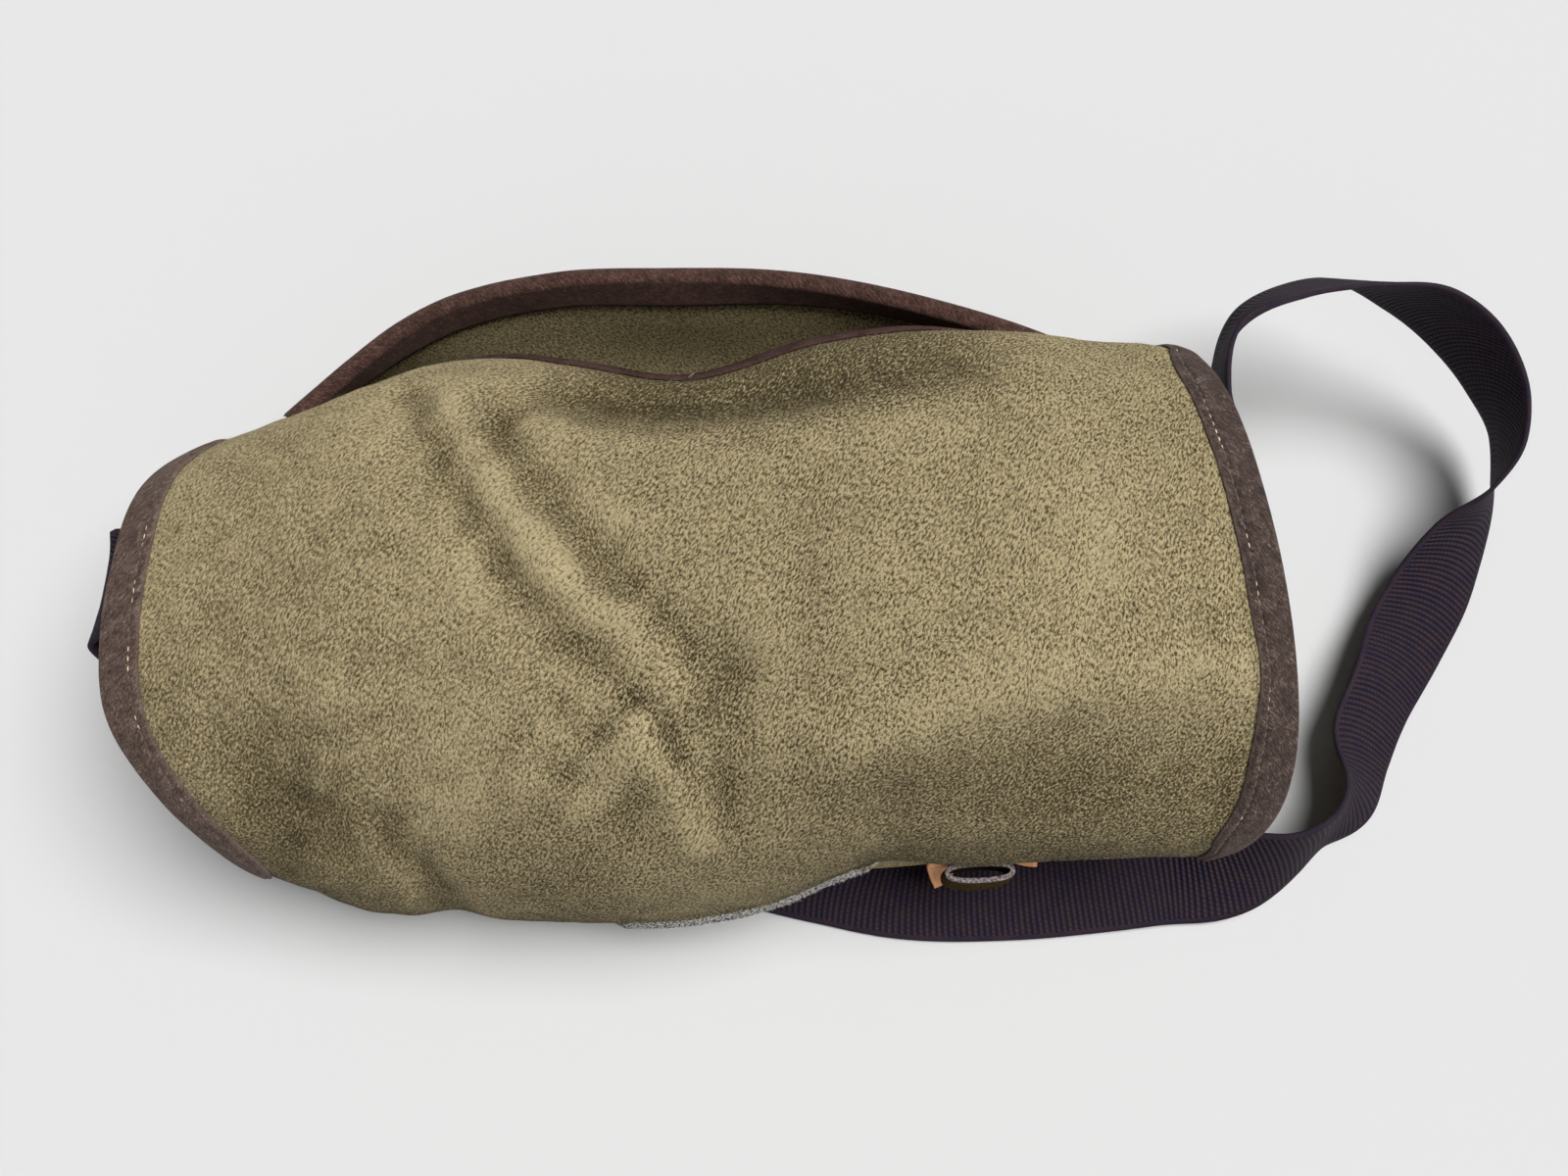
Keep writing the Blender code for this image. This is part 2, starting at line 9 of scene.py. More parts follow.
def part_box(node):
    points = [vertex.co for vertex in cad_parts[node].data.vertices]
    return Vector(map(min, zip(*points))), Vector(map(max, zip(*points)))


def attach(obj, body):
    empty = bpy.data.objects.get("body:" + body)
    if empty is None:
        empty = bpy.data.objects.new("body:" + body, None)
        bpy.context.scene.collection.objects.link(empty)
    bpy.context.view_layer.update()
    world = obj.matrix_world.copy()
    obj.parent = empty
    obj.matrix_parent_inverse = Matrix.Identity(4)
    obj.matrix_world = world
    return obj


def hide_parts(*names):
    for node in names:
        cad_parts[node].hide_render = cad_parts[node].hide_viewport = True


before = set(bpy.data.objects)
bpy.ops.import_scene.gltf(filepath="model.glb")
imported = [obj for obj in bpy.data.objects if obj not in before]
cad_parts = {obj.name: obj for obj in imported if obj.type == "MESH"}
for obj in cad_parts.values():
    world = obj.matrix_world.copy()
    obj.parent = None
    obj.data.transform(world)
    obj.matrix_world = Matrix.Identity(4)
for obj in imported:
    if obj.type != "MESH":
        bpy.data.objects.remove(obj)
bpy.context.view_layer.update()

# Viewpoint
# Someone stands in front of the bag and looks almost straight down on its flap, from a
# little over half a metre away.
looked_at = Vector((0.030, 0.012, 0.130))
turned, raised = math.radians(-2.9), math.radians(75)
eye_distance = 0.552
towards_eye = Vector((
    math.sin(turned) * math.cos(raised), -math.cos(turned) * math.cos(raised), math.sin(raised)))
eye = bpy.data.objects.new("eye", bpy.data.cameras.new("eye"))
eye.data.lens = eye.data.sensor_width = 36
eye.data.clip_start = 0.01
eye.location = looked_at + towards_eye * eye_distance
eye.rotation_euler = (-towards_eye).to_track_quat("-Z", "Y").to_euler()
bpy.context.scene.collection.objects.link(eye)
bpy.context.scene.camera = eye


# Base and walls
# The body is five cut pieces of thick melange wool: a bottom, a front, a back and two
# gussets. They are stitched to each other along their edges, and the mouth is left raw.
MERGE = 1e-5
TO_RIGHT, TO_BACK, UPWARD = (1, 0, 0), (0, 1, 0), (0, 0, 1)
wall_thickness = 0.0025


def sewn_grid(node, columns, thickness, across, along):
    """Middle of a sewn CAD sheet, as rows of points that run across it."""
    bm = bmesh.new()
    bm.from_mesh(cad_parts[node].data)
    bmesh.ops.remove_doubles(bm, verts=bm.verts, dist=MERGE)
    rows = len(bm.verts) // (2 * (columns + 1)) - 1
    rim = [face for face in bm.faces
           if any(abs(edge.calc_length() - thickness) < 2e-6 for edge in face.edges)]
    bmesh.ops.delete(bm, geom=rim, context="FACES")
    middle = 0
    unused = [vert for vert in bm.verts if vert.is_boundary]
    while unused:
        loop = [unused[0]]
        while len(loop) < 2 * (columns + rows):
            onward = [edge.other_vert(loop[-1]) for edge in loop[-1].link_edges if edge.is_boundary]
            loop.append(next(vert for vert in onward if vert not in loop[-2:]))
        unused = [vert for vert in unused if vert not in loop]
        corner_angles = np.array([sum(c.calc_angle() for c in vert.link_loops) for vert in loop])
        spans = np.cumsum([0, columns, rows, columns])
        start = min(range(len(loop)), key=lambda at: corner_angles[(at + spans) % len(loop)].sum())
        ring = loop[start:] + loop[:start]
        lines, seen = [ring[:columns + 1]], set()
        for row in range(1, rows + 1):
            seen.update(lines[-1])
            line = [ring[-row]]
            below = {edge.other_vert(vert) for vert in lines[-1] for edge in vert.link_edges} - seen
            while len(line) <= columns:
                beside = [edge.other_vert(line[-1]) for edge in line[-1].link_edges]
                line.append(next(vert for vert in beside if vert in below and vert not in line))
            lines.append(line)
        grid = np.array([[vert.co[:] for vert in line] for line in lines])
        if (grid[:, -1] - grid[:, 0]).sum(0) @ across < 0:
            grid = grid[:, ::-1]
        if (grid[-1] - grid[0]).sum(0) @ along < 0:
            grid = grid[::-1]
        middle = middle + grid / 2
    bm.free()
    return middle


def curve_weights(share, count):
    """Where a share of the way falls between count points, and the weights of four of them."""
    place = np.clip(share, 0, 1) * (count - 1)
    first = np.minimum(place.astype(int), count - 2)
    t = place - first
    return first, (-t * (1 - t) ** 2 / 2, (2 - 5 * t**2 + 3 * t**3) / 2,
                   (t + 4 * t**2 - 3 * t**3) / 2, -t**2 * (1 - t) / 2)


def cloth_points(grid, across, along):
    """Points on smooth curves through a grid, at shares of the way across and along it."""
    around = np.pad(grid, ((1, 1), (1, 1), (0, 0)), mode="reflect", reflect_type="odd")
    row, row_weights = curve_weights(along, grid.shape[0])
    column, column_weights = curve_weights(across, grid.shape[1])
    return sum((row_weights[i] * column_weights[j])[..., None] * around[row + i, column + j]
               for i in range(4) for j in range(4))


def shares(columns, rows):
    """Shares of the way across and along, for a grid of that many faces."""
    return np.meshgrid(np.linspace(0, 1, columns + 1), np.linspace(0, 1, rows + 1))


def way_along(points):
    """Length of cloth from the first line of points to each point."""
    steps = np.linalg.norm(np.diff(points, axis=0), axis=2)
    return np.concatenate((np.zeros((1, points.shape[1])), np.cumsum(steps, axis=0)))


def flat_cut(lengths):
    """Lengths down a sheet as on its flat cloth, where a fold doesn't skew the lines beside it."""
    down = lengths.mean(1) - lengths.mean()
    whole = lengths[-1] / lengths[-1].mean()
    place = np.linspace(-1, 1, len(whole))
    even = np.polyval(np.polyfit(place, whole, 2), place)
    return down[:, None] * even[None]


def cut_size(points):
    """Width and length of the flat cloth that rows of points were cut from."""
    return way_along(points.swapaxes(0, 1))[-1].mean(), way_along(points)[-1].mean()


def new_object(name, bm, finish):
    """An object in the scene with the shape of bm, in one finish."""
    mesh = bpy.data.meshes.new(name)
    bm.to_mesh(mesh)
    bm.free()
    mesh.materials.append(finish)
    item = bpy.data.objects.new(name, mesh)
    bpy.context.scene.collection.objects.link(item)
    return item


def place_piece(name, bm, finish, slot, *nodes):
    """A finished piece that rides on the bag and stands for the CAD nodes named."""
    piece = new_object(name, bm, finish)
    piece.data.shade_smooth()
    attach(piece, "root")
    if nodes:
        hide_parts(*nodes)
    return piece


def cut_cloth(name, points, thickness, finish, slot, *nodes, tones=None):
    """A sheet through rows of points, with the thickness of its cloth and a map in metres."""
    rows, columns = points.shape[0] - 1, points.shape[1] - 1
    bm = bmesh.new()
    bmesh.ops.create_grid(bm, x_segments=columns, y_segments=rows, size=0.5)
    places = np.array([vert.co[:2] for vert in bm.verts]) + 0.5
    column, row = np.rint(places * (columns, rows)).astype(int).T
    for vert, point in zip(bm.verts, points[row, column]):
        vert.co = point
    piece = place_piece(name, bm, finish, slot, *nodes)
    wide, deep = flat_cut(way_along(points.swapaxes(0, 1))).T, -flat_cut(way_along(points))
    corners = np.empty(len(piece.data.loops), int)
    piece.data.loops.foreach_get("vertex_index", corners)
    cut = piece.data.uv_layers.new(name="cloth")
    cut.uv.foreach_set("vector", np.stack((wide, deep), 2)[row, column][corners].ravel())
    for tone, values in (tones or {}).items():
        piece.data.attributes.new(tone, "FLOAT", "POINT").data.foreach_set("value", values[row, column])
    wall = piece.modifiers.new("thickness", "SOLIDIFY")
    wall.thickness = thickness
    wall.offset = 0
    return piece


def tint(red, green, blue):
    """A colour from the values that a screen shows, 0 to 255."""
    return (*[(value / 255 / 12.92 if value < 10.3 else ((value / 255 + 0.055) / 1.055) ** 2.4)
              for value in (red, green, blue)], 1)


MAP, PLACE = 2, 3   # outputs of a Texture Coordinate node: the flat cloth, and the object itself


class Thread:
    """One socket of a finish. Sums on values add their Math nodes."""

    def __init__(self, tree, socket=None):
        self.tree, self.socket = tree, socket

    def make(self, kind, settings=None, values=None, output=0):
        """Any other node: its settings first, then what its sockets get."""
        node = self.tree.nodes.new("ShaderNode" + kind)
        for setting, value in (settings or {}).items():
            if setting == "stops":
                stops = node.color_ramp.elements
                for at in [at for at, colour in value[1:-1]]:
                    stops.new(at)
                for stop, (at, colour) in zip(stops, value):
                    stop.position, stop.color = at, colour
            else:
                setattr(node, setting, value)
        for socket, value in (values or {}).items():
            if isinstance(value, Thread):
                self.tree.links.new(value.socket, node.inputs[socket])
            else:
                node.inputs[socket].default_value = value
        return Thread(self.tree, node.outputs[output])

    def sum(self, operation, *values):
        return self.make("Math", {"operation": operation}, dict(enumerate(values)))

    def __add__(self, other):
        return self.sum("ADD", self, other)

    def __sub__(self, other):
        return self.sum("SUBTRACT", self, other)

    def __rsub__(self, other):
        return self.sum("SUBTRACT", other, self)

    def __mul__(self, other):
        return self.sum("MULTIPLY", self, other)

    def __truediv__(self, other):
        return self.sum("DIVIDE", self, other)

    def __rtruediv__(self, other):
        return self.sum("DIVIDE", other, self)

    __radd__, __rmul__ = __add__, __mul__

    def between(self, low, high):
        """0 below low and 1 above high, with a soft step from one to the other."""
        return self.make("MapRange", {"interpolation_type": "SMOOTHSTEP"},
                         {"Value": self, "From Min": low, "From Max": high})

    def dye(self, colour, other):
        """colour where this value is 0, and other where it is 1."""
        return self.make("Mix", {"data_type": "RGBA"}, {"Factor": self, 6: colour, 7: other}, 2)

    def painted(self, tone):
        """A tone that the points of a piece carry."""
        return self.make("Attribute", {"attribute_name": tone}, None, 2)

    def mottle(self, size, detail=2, rough=0.5, stretch=(1, 1, 1), turn=0):
        """Soft blotches of one size in metres, on this place."""
        where = self.make("Mapping", {"vector_type": "TEXTURE"}, {
            "Vector": self, "Rotation": (0, 0, turn), "Scale": [size * part for part in stretch]})
        return self.make("TexNoise", None, {
            "Vector": where, "Scale": 1.0, "Detail": detail, "Roughness": rough})

    def cells(self, stretch, turn):
        """Small cells, each with its own random tone, and the distance from their middles."""
        where = self.make("Mapping", {"vector_type": "TEXTURE"}, {
            "Vector": self, "Rotation": (0, 0, turn), "Scale": stretch})
        settings = {"voronoi_dimensions": "2D"}
        tone = self.make("TexVoronoi", settings, {"Vector": where, "Scale": 1.0}, 1)
        away = self.make("TexVoronoi", settings, {"Vector": where, "Scale": 1.0})
        return self.make("SeparateColor", None, {"Color": tone}), away


def new_finish(name, sheen=0.0, sheen_tint=(1, 1, 1, 1), gloss=0.5):
    """An empty finish, as a thread that its nodes start from, and its shader."""
    finish = bpy.data.materials.new(name)
    finish.use_nodes = True
    shader = finish.node_tree.nodes["Principled BSDF"]
    shader.inputs["Sheen Weight"].default_value = sheen
    shader.inputs["Sheen Roughness"].default_value = 0.6
    shader.inputs["Sheen Tint"].default_value = sheen_tint
    shader.inputs["Specular IOR Level"].default_value = gloss
    return finish, Thread(finish.node_tree), shader


def end_finish(thread, shader, colour, roughness, height, depth):
    """Links colour, roughness and the relief of a finish, whose height 1 stands depth proud."""
    relief = thread.make("Bump", None, {"Height": height, "Distance": depth, "Strength": 1.0})
    for socket, value in (("Base Color", colour), ("Roughness", roughness), ("Normal", relief)):
        if isinstance(value, Thread):
            thread.tree.links.new(value.socket, shader.inputs[socket])
        else:
            shader.inputs[socket].default_value = value


def wool_finish(name, shade):
    """Melange wool: a felted, slanting nap, with flecks from dark brown to straw on olive."""
    finish, thread, shader = new_finish(name, 0.08, tint(205, 195, 150), 0.15)
    cloth = thread.make("TexCoord", output=MAP)
    slant = math.radians(57)
    drift = cloth.mottle(0.0013, 2)
    wander = cloth.make("VectorMath", {"operation": "MULTIPLY_ADD"}, {
        0: thread.make("CombineXYZ", None, {0: drift, 1: drift}), 1: (0.0006, -0.0005, 0), 2: cloth})
    fleck, away = wander.cells((0.0011, 0.00048, 1), slant)
    grain = wander.mottle(0.00150, 3, 0.66, (1, 0.55, 1), slant)
    fibres = cloth.mottle(0.0005, 2, 0.6, (1, 0.35, 1), slant + 0.25)
    hollow, rubbed, crisp, raw = [
        thread.painted(tone) for tone in ("hollow", "rubbed", "crisp", "raw")]
    flecks = (fleck - 0.5) * 0.30 + (grain - 0.5) * 2.75 + (fibres - 0.5) * 0.9
    tone = flecks * (crisp * 0.45 + 1) + 0.665
    nap = cloth.mottle(0.040, 3)
    # The fold-depth tone paints shade in the valleys of the folds and a highlight on their ridges. The
    # tone subtracted last is painted shade, laid where the cloth turns from the light.
    tone = tone + (nap - 0.5) * 0.26 - hollow * 0.22 - rubbed * 0.40
    red, green, blue = shade
    colour = thread.make("ValToRGB", {"stops": [
        (at, tint(light * red, light * green * leafy, light * blue * cool))
        for at, light, leafy, cool in (
            (0.05, 54, 0.93, 0.69), (0.34, 106, 0.96, 0.83),
            (0.60, 154, 0.99, 0.99), (0.95, 215, 1.01, 1.04))
    ]}, {"Fac": tone})
    straw = fleck.between(0.84, 0.97) * grain.between(0.45, 0.60) * 0.35
    colour = straw.dye(colour, tint(206 * red, 206 * green, 200 * blue))
    cut_fibres = cloth.mottle(0.0014, 2, 0.6, (1, 0.6, 1), slant).between(0.44, 0.56)
    raw_wool = cut_fibres.dye(tint(66, 62, 54), tint(253, 250, 245))
    frayed = (raw + cloth.mottle(0.0016, 2, 0.6) * 0.9).between(0.78, 1.02)
    colour = frayed.dye(colour, raw_wool)
    height = grain + fibres * 0.4 - away * 0.1
    end_finish(thread, shader, colour, 0.95, height, 0.0026)
    return finish


body_wool = wool_finish("olive wool of the body", (1.0, 0.91, 0.68))
front = sewn_grid("front_panel", 20, wall_thickness, TO_RIGHT, UPWARD)
back = sewn_grid("back_panel", 20, wall_thickness, TO_RIGHT, UPWARD)
left_end = sewn_grid("gusset_left", 12, wall_thickness, TO_BACK, UPWARD)
right_end = sewn_grid("gusset_right", 12, wall_thickness, TO_BACK, UPWARD)
pocket_half_width, pocket_floor, shade_fade, pocket_shade = 0.150, 0.02, 0.02, 1.5
for wall_name, wall_grid, wall_columns in (
        ("front_panel", front, 100), ("back_panel", back, 100),
        ("gusset_left", left_end, 60), ("gusset_right", right_end, 60)):
    wall_points = cloth_points(wall_grid, *shares(wall_columns, 45))
    # Painted shade: the back panel is darker inside the pocket, where the pocket keeps out the light.
    in_pocket = (np.clip((pocket_half_width - np.abs(wall_points[..., 0])) / shade_fade, 0, 1)
                 * np.clip((wall_points[..., 2] - pocket_floor) / shade_fade, 0, 1)
                 * (wall_name == "back_panel"))
    wall = cut_cloth(wall_name + "_wool", wall_points, wall_thickness, body_wool, "olive_wool",
                     wall_name, tones={"rubbed": in_pocket * pocket_shade})
    cut_size(wall_points)

bm = bmesh.new()
bm.from_mesh(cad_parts["base_panel"].data)
bmesh.ops.remove_doubles(bm, verts=bm.verts, dist=MERGE)
outline = [edge for edge in bm.edges if edge.calc_face_angle(0) > 1 and edge.verts[0].co.z > 0.002
           and edge.verts[1].co.z > 0.002]
bmesh.ops.bevel(bm, geom=outline, offset=0.0012, offset_type="OFFSET", affect="EDGES",
                segments=3, profile=0.5, material=-1)
place_piece("base_panel_wool", bm, body_wool, "olive_wool", "base_panel")


# Back pocket
# A wide slip pocket of the same wool on the back panel. Its mouth hangs open, and a fat
# roll of dark suede is folded over its lip and stitched through.
pocket = sewn_grid("back_pocket", 20, wall_thickness, TO_RIGHT, UPWARD)
pocket_points = cloth_points(pocket, *shares(100, 40))
pocket_wool = cut_cloth(
    "back_pocket_wool", pocket_points, wall_thickness, body_wool, "olive_wool", "back_pocket")


def facing(points, outwards):
    """Unit normals of rows of points, on the side that outwards looks to."""
    across = np.gradient(points, axis=1)
    along = np.gradient(points, axis=0)
    normal = np.cross(across, along)
    normal /= np.linalg.norm(normal, axis=2)[..., None]
    return normal * np.sign((normal @ outwards).sum())


def soft_step(values, low, high):
    """0 below low and 1 above high, with a soft step from one to the other."""
    part = np.clip((values - low) / (high - low), 0, 1)
    return part * part * (3 - 2 * part)


STRIP_FACES = 28   # from a folded strip's inner edge to the edge that it is folded over


def folded_strip(cloth, outwards, width, height, roundness=0.0, groove=None):
    """Rows of points across a strip folded over the first line of a cloth's points.

    cloth's rows run away from its edge. width holds the strip's width at each station,
    height how far its middle stands off the cloth's, and groove a seam's place and depth.
    """
    seam_spread, inner_dip, edge_bulge = 0.0007, 0.0008, 0.55
    normal = facing(cloth, outwards)
    away = way_along(cloth)
    edge, edge_normal = cloth[0], normal[0]
    out = edge - cloth[1]
    out -= edge_normal * (out * edge_normal).sum(1)[:, None]
    out /= np.linalg.norm(out, axis=1)[:, None]
    flat_part = np.linspace(1, 0, STRIP_FACES + 1)[:-1]
    sections = []
    for station in range(cloth.shape[1]):
        line, across = cloth[:, station], away[:, station]
        inboard = flat_part * width[station]
        proud = height + roundness * np.sin(flat_part * math.pi) ** 0.7
        if groove:
            seam = np.exp(-((inboard - groove[0] * width[station]) / seam_spread) ** 2)
            proud = proud - groove[1] * seam
        proud = proud - inner_dip * soft_step(flat_part, 0.88, 1.0)
        middle = np.array([np.interp(inboard, across, line[:, axis]) for axis in range(3)]).T
        lean = np.array([np.interp(inboard, across, normal[:, station, axis]) for axis in range(3)]).T
        upper = middle + lean * proud[:, None]
        turn = np.linspace(0, math.pi, 11)[:, None]
        round_edge = edge[station] + height * (
            np.cos(turn) * edge_normal[station] + edge_bulge * np.sin(turn) * out[station])
        under = flat_part[::-3]
        below = np.array([np.interp(under * width[station], across, line[:, axis])
                          for axis in range(3)]).T
        lean = np.array([np.interp(under * width[station], across, normal[:, station, axis])
                         for axis in range(3)]).T
        sections.append(np.concatenate((upper, round_edge, below - lean * height)))
    return np.array(sections)


def free_edge(strip):
    """1 on the first line across a strip, fading to 0 at the fourth."""
    return np.broadcast_to(np.clip(1 - np.arange(strip.shape[1]) / 3, 0, 1), strip.shape[:2])


def suede_finish(name, shade, worn, bright):
    """Brushed suede: a dull nap with soft blotches, and the pale ends of its longer hairs."""
    finish, thread, shader = new_finish(name, 0.15, tint(190, 170, 160), 0.15)
    place = thread.make("TexCoord", output=PLACE)
    cut = thread.make("TexCoord", output=MAP)
    nap = place.mottle(0.0007, 3, 0.65)
    blotch = place.mottle(0.005, 3, 0.6)
    hair, away = cut.cells((0.0012, 0.00036, 1), 2.3)
    fine_hair, fine_away = cut.cells((0.0007, 0.00026, 1), 2.0)
    edge = thread.painted("edge")
    tone = nap * 0.45 + blotch * 0.45 + hair * 0.30 + fine_hair * 0.22 + edge * 0.25 - 0.20
    ends = hair.between(0.80, 1.0) * (0.9 - away * 1.3) + fine_hair.between(0.8, 1.0) * (0.7 - fine_away)
    colour = thread.make("ValToRGB", {"stops": [
        (0.25, tint(*[part * 0.55 for part in shade])),
        (0.48, tint(*shade)),
        (0.75, tint(*worn))]}, {"Fac": tone})
    colour = (ends * blotch.between(0.40, 0.62) * 0.55).dye(colour, tint(*bright))
    end_finish(thread, shader, colour, 0.9, nap * 0.5 + tone * 0.5, 0.0005)
    return finish


def stitch_line(name, places, ways, out, finish, slot, length, girth, sunk=0.3):
    """Small stitches of thread, each lying at a place in the way given."""
    bm = bmesh.new()
    for place, way, up in zip(places, ways, out):
        way = Vector(way).normalized()
        up = Vector(up)
        side = up.cross(way).normalized()
        lie = Matrix((way, side, way.cross(side).normalized())).transposed().to_4x4()
        lie.translation = Vector(place) - up * girth * sunk
        bmesh.ops.create_uvsphere(
            bm, u_segments=6, v_segments=5, radius=1,
            matrix=lie @ Matrix.Diagonal((length / 2, girth / 2, girth / 2, 1)))
    return place_piece(name, bm, finish, slot)


def seam_points(strip, column, pitch, start=0.0, end=1.0, outwards=None, proud=0.0):
    """Places at one pitch down one column of a strip, the ways there, and the normals.

    The normals are turned to the side that outwards names, and the places stand proud along them.
    """
    line = strip[:, column]
    gone = np.concatenate(([0], np.cumsum(np.linalg.norm(np.diff(line, axis=0), axis=1))))
    at = np.arange(gone[-1] * start, gone[-1] * end, pitch)

    def read(values):
        return np.array([np.interp(at, gone, values[:, axis]) for axis in range(3)]).T

    across = strip[:, column + 1] - strip[:, column - 1]
    way = np.gradient(line, axis=0)
    out = np.cross(across, way)
    out /= np.linalg.norm(out, axis=1)[:, None]
    out = read(out)
    if outwards is not None:
        out *= np.sign((out @ outwards).sum())
    return read(line) + out * proud, read(way), out


def thread_finish(name, shade):
    """Waxed sewing thread with its twist, brown with dirt in stretches."""
    finish, thread, shader = new_finish(name, 0.1)
    place = thread.make("TexCoord", output=PLACE)
    twist = place.mottle(0.0004, 1, 0.5, (1, 0.3, 1), 0.6)
    clean = place.mottle(0.014, 2).between(0.53, 0.66)
    colour = clean.dye(tint(*[part * 0.42 for part in shade]), tint(*shade))
    end_finish(thread, shader, colour, 0.7, twist, 0.0001)
    return finish


lip_suede = suede_finish("dark suede of the lip", (60, 40, 34), (88, 62, 54), (120, 96, 86))
cream_thread = thread_finish("cream thread", (232, 214, 178))
lip_run = np.linspace(0.016, 0.984, 221)
lip_cloth = cloth_points(pocket, *np.meshgrid(lip_run, np.linspace(1, 0.70, 41)))
lip_width = np.full(len(lip_run), 0.0135)
lip_seam = 0.30   # share of the lip's width, from its folded edge
lip_strip = folded_strip(
    lip_cloth, TO_BACK, lip_width, height=0.0029, roundness=0.0012, groove=(lip_seam, 0.0004))
lip = cut_cloth("back_pocket_lip", lip_strip, 0.0016, lip_suede, "dark_suede", "back_pocket_binding")
lip_seam_column = round((1 - lip_seam) * STRIP_FACES)
places, ways, out = seam_points(
    lip_strip, lip_seam_column, pitch=0.0038, outwards=TO_BACK, proud=0.0009)
lip_stitches = stitch_line(
    "back_pocket_lip_stitches", places, ways, out, cream_thread, "dark_suede",
    length=0.0026, girth=0.0009)
for seam_name, column in (("left", 2), ("right", 98)):
    places, ways, out = seam_points(
        pocket_points, column, pitch=0.0036, start=0.02, end=0.90, outwards=TO_BACK, proud=0.00135)
    stitch_line(
        "back_pocket_stitches_" + seam_name, places, ways, out, cream_thread,
        "olive_wool", length=0.0024, girth=0.0007)
cut_size(pocket_points)


# Closure
# A tan leather patch is sewn to the front panel, low down, and carries a standing keeper
# loop of thick dark leather whose cut edge shows its pale suede.
def leather_finish(name, shade, worn, roughness, gloss):
    """Smooth leather with a fine pebbled grain and slightly darker hollows."""
    finish, thread, shader = new_finish(name, gloss=gloss)
    place = thread.make("TexCoord", output=PLACE)
    pebble = place.mottle(0.0012, 3, 0.6)
    blotch = place.mottle(0.010, 3, 0.6)
    tone = pebble * 0.6 + blotch * 0.5 - 0.05
    colour = tone.between(0.3, 0.7).dye(tint(*shade), tint(*worn))
    end_finish(thread, shader, colour, roughness, pebble, 0.0002)
    return finish


tan = leather_finish("tan leather", (212, 138, 86), (244, 180, 126), 0.5, 0.4)
patch_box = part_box("closure_patch")
patch_seat, panel_blur = 0.0024, 0.0012
curl_reach, left_curl, right_curl = 0.0165, 0.0090, 0.0068
patch_across, patch_along = shares(36, 36)
panel_points = cloth_points(front, *shares(200, 90))
patch_points = np.empty((37, 37, 3))
patch_points[..., 0] = patch_box[0].x + 0.002 + patch_across * (patch_box[1].x - patch_box[0].x)
patch_points[..., 2] = patch_box[0].z + patch_along * (patch_box[1].z - patch_box[0].z)
beside = np.abs(panel_points[..., 0] - patch_points[..., 0].mean()) < 0.035
panel = panel_points[beside & (np.abs(panel_points[..., 2] - patch_points[..., 2].mean()) < 0.030)]
apart = ((patch_points[:, :, None, ::2] - panel[:, ::2]) ** 2).sum(3)
near = np.exp(-apart / (2 * panel_blur ** 2))
panel_y = (near * panel[:, 1]).sum(2) / near.sum(2)
slope_up, slope_across = np.gradient(panel_y, patch_points[:, 0, 2], patch_points[0, :, 0])
patch_points[..., 1] = panel_y - patch_seat * np.sqrt(1 + slope_up ** 2 + slope_across ** 2)
towards_hem = 1 - (patch_points[..., 2] - patch_box[0].z) / curl_reach
curl = (left_curl * soft_step(towards_hem - patch_across / 0.44, 0, 1)
        + right_curl * soft_step(towards_hem - (1 - patch_across) / 0.40, 0, 1))
patch_points[..., 1] -= curl
patch_points[..., 0] += 0.40 * curl
cut_cloth("closure_patch_leather", patch_points, 0.0016, tan, "tan_leather", "closure_patch")
places, ways, out = seam_points(patch_points.swapaxes(0, 1), 33, pitch=0.0030, start=0.05, end=0.95)
stitch_line(
    "closure_patch_stitches", places - np.sign(out[:, 1:2]) * out * 0.0010, ways, out, cream_thread,
    "tan_leather", length=0.0020, girth=0.0006)

loop_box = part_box("closure_loop")
loop_leather, loop_depth, loop_levels = 0.0020, 0.0080, 10
loop_reach = Vector((loop_box[1].x - loop_box[0].x - loop_leather, loop_depth - loop_leather)) / 2
loop_middle = Vector((
    (loop_box[0].x + loop_box[1].x) / 2, loop_box[1].y - loop_leather / 2 - loop_reach.y))
finish, thread, shader = new_finish("dark green leather", gloss=0.0)
place = thread.make("TexCoord", output=PLACE)
pebble = place.mottle(0.0010, 3, 0.6)
rim = thread.make("SeparateXYZ", None, {0: place}, 2).between(
    loop_box[1].z - 0.0009, loop_box[1].z - 0.0002)
outside = pebble.between(0.3, 0.7).dye(tint(44, 35, 20), tint(76, 64, 40))
suede_edge = pebble.between(0.35, 0.65).dye(tint(70, 62, 62), tint(150, 140, 140))
end_finish(thread, shader, rim.dye(outside, suede_edge), 0.85, pebble, 0.0003)
bm = bmesh.new()
bmesh.ops.create_circle(bm, segments=72, radius=1)
for vert in bm.verts:
    turn = math.atan2(vert.co.y, vert.co.x)
    wide, deep = math.cos(turn), math.sin(turn)
    vert.co = (
        loop_middle.x + math.copysign(abs(wide) ** 0.8, wide) * loop_reach.x,
        loop_middle.y + math.copysign(abs(deep) ** (0.62 if deep > 0 else 0.9), deep) * loop_reach.y,
        loop_box[0].z)
for level in range(loop_levels):
    around = [edge for edge in bm.edges if edge.is_wire or edge.is_boundary]
    top = max(edge.verts[0].co.z for edge in around)
    grown = bmesh.ops.extrude_edge_only(
        bm, edges=[edge for edge in around if min(v.co.z for v in edge.verts) > top - 1e-6])
    bmesh.ops.translate(
        bm, verts=[item for item in grown["geom"] if isinstance(item, bmesh.types.BMVert)],
        vec=(0, 0, (loop_box[1].z - loop_box[0].z) / loop_levels))
for vert in bm.verts:
    low = (loop_box[1].z - vert.co.z) / (loop_box[1].z - loop_box[0].z)
    front_part = (loop_middle.y + loop_reach.y - vert.co.y) / (2 * loop_reach.y)
    vert.co.y -= 0.0016 * math.sin(min(low * 1.6, 1) * math.pi / 2) * front_part
bmesh.ops.recalc_face_normals(bm, faces=bm.faces)
keeper = place_piece("closure_loop_leather", bm, finish, "dark_green_leather", "closure_loop")
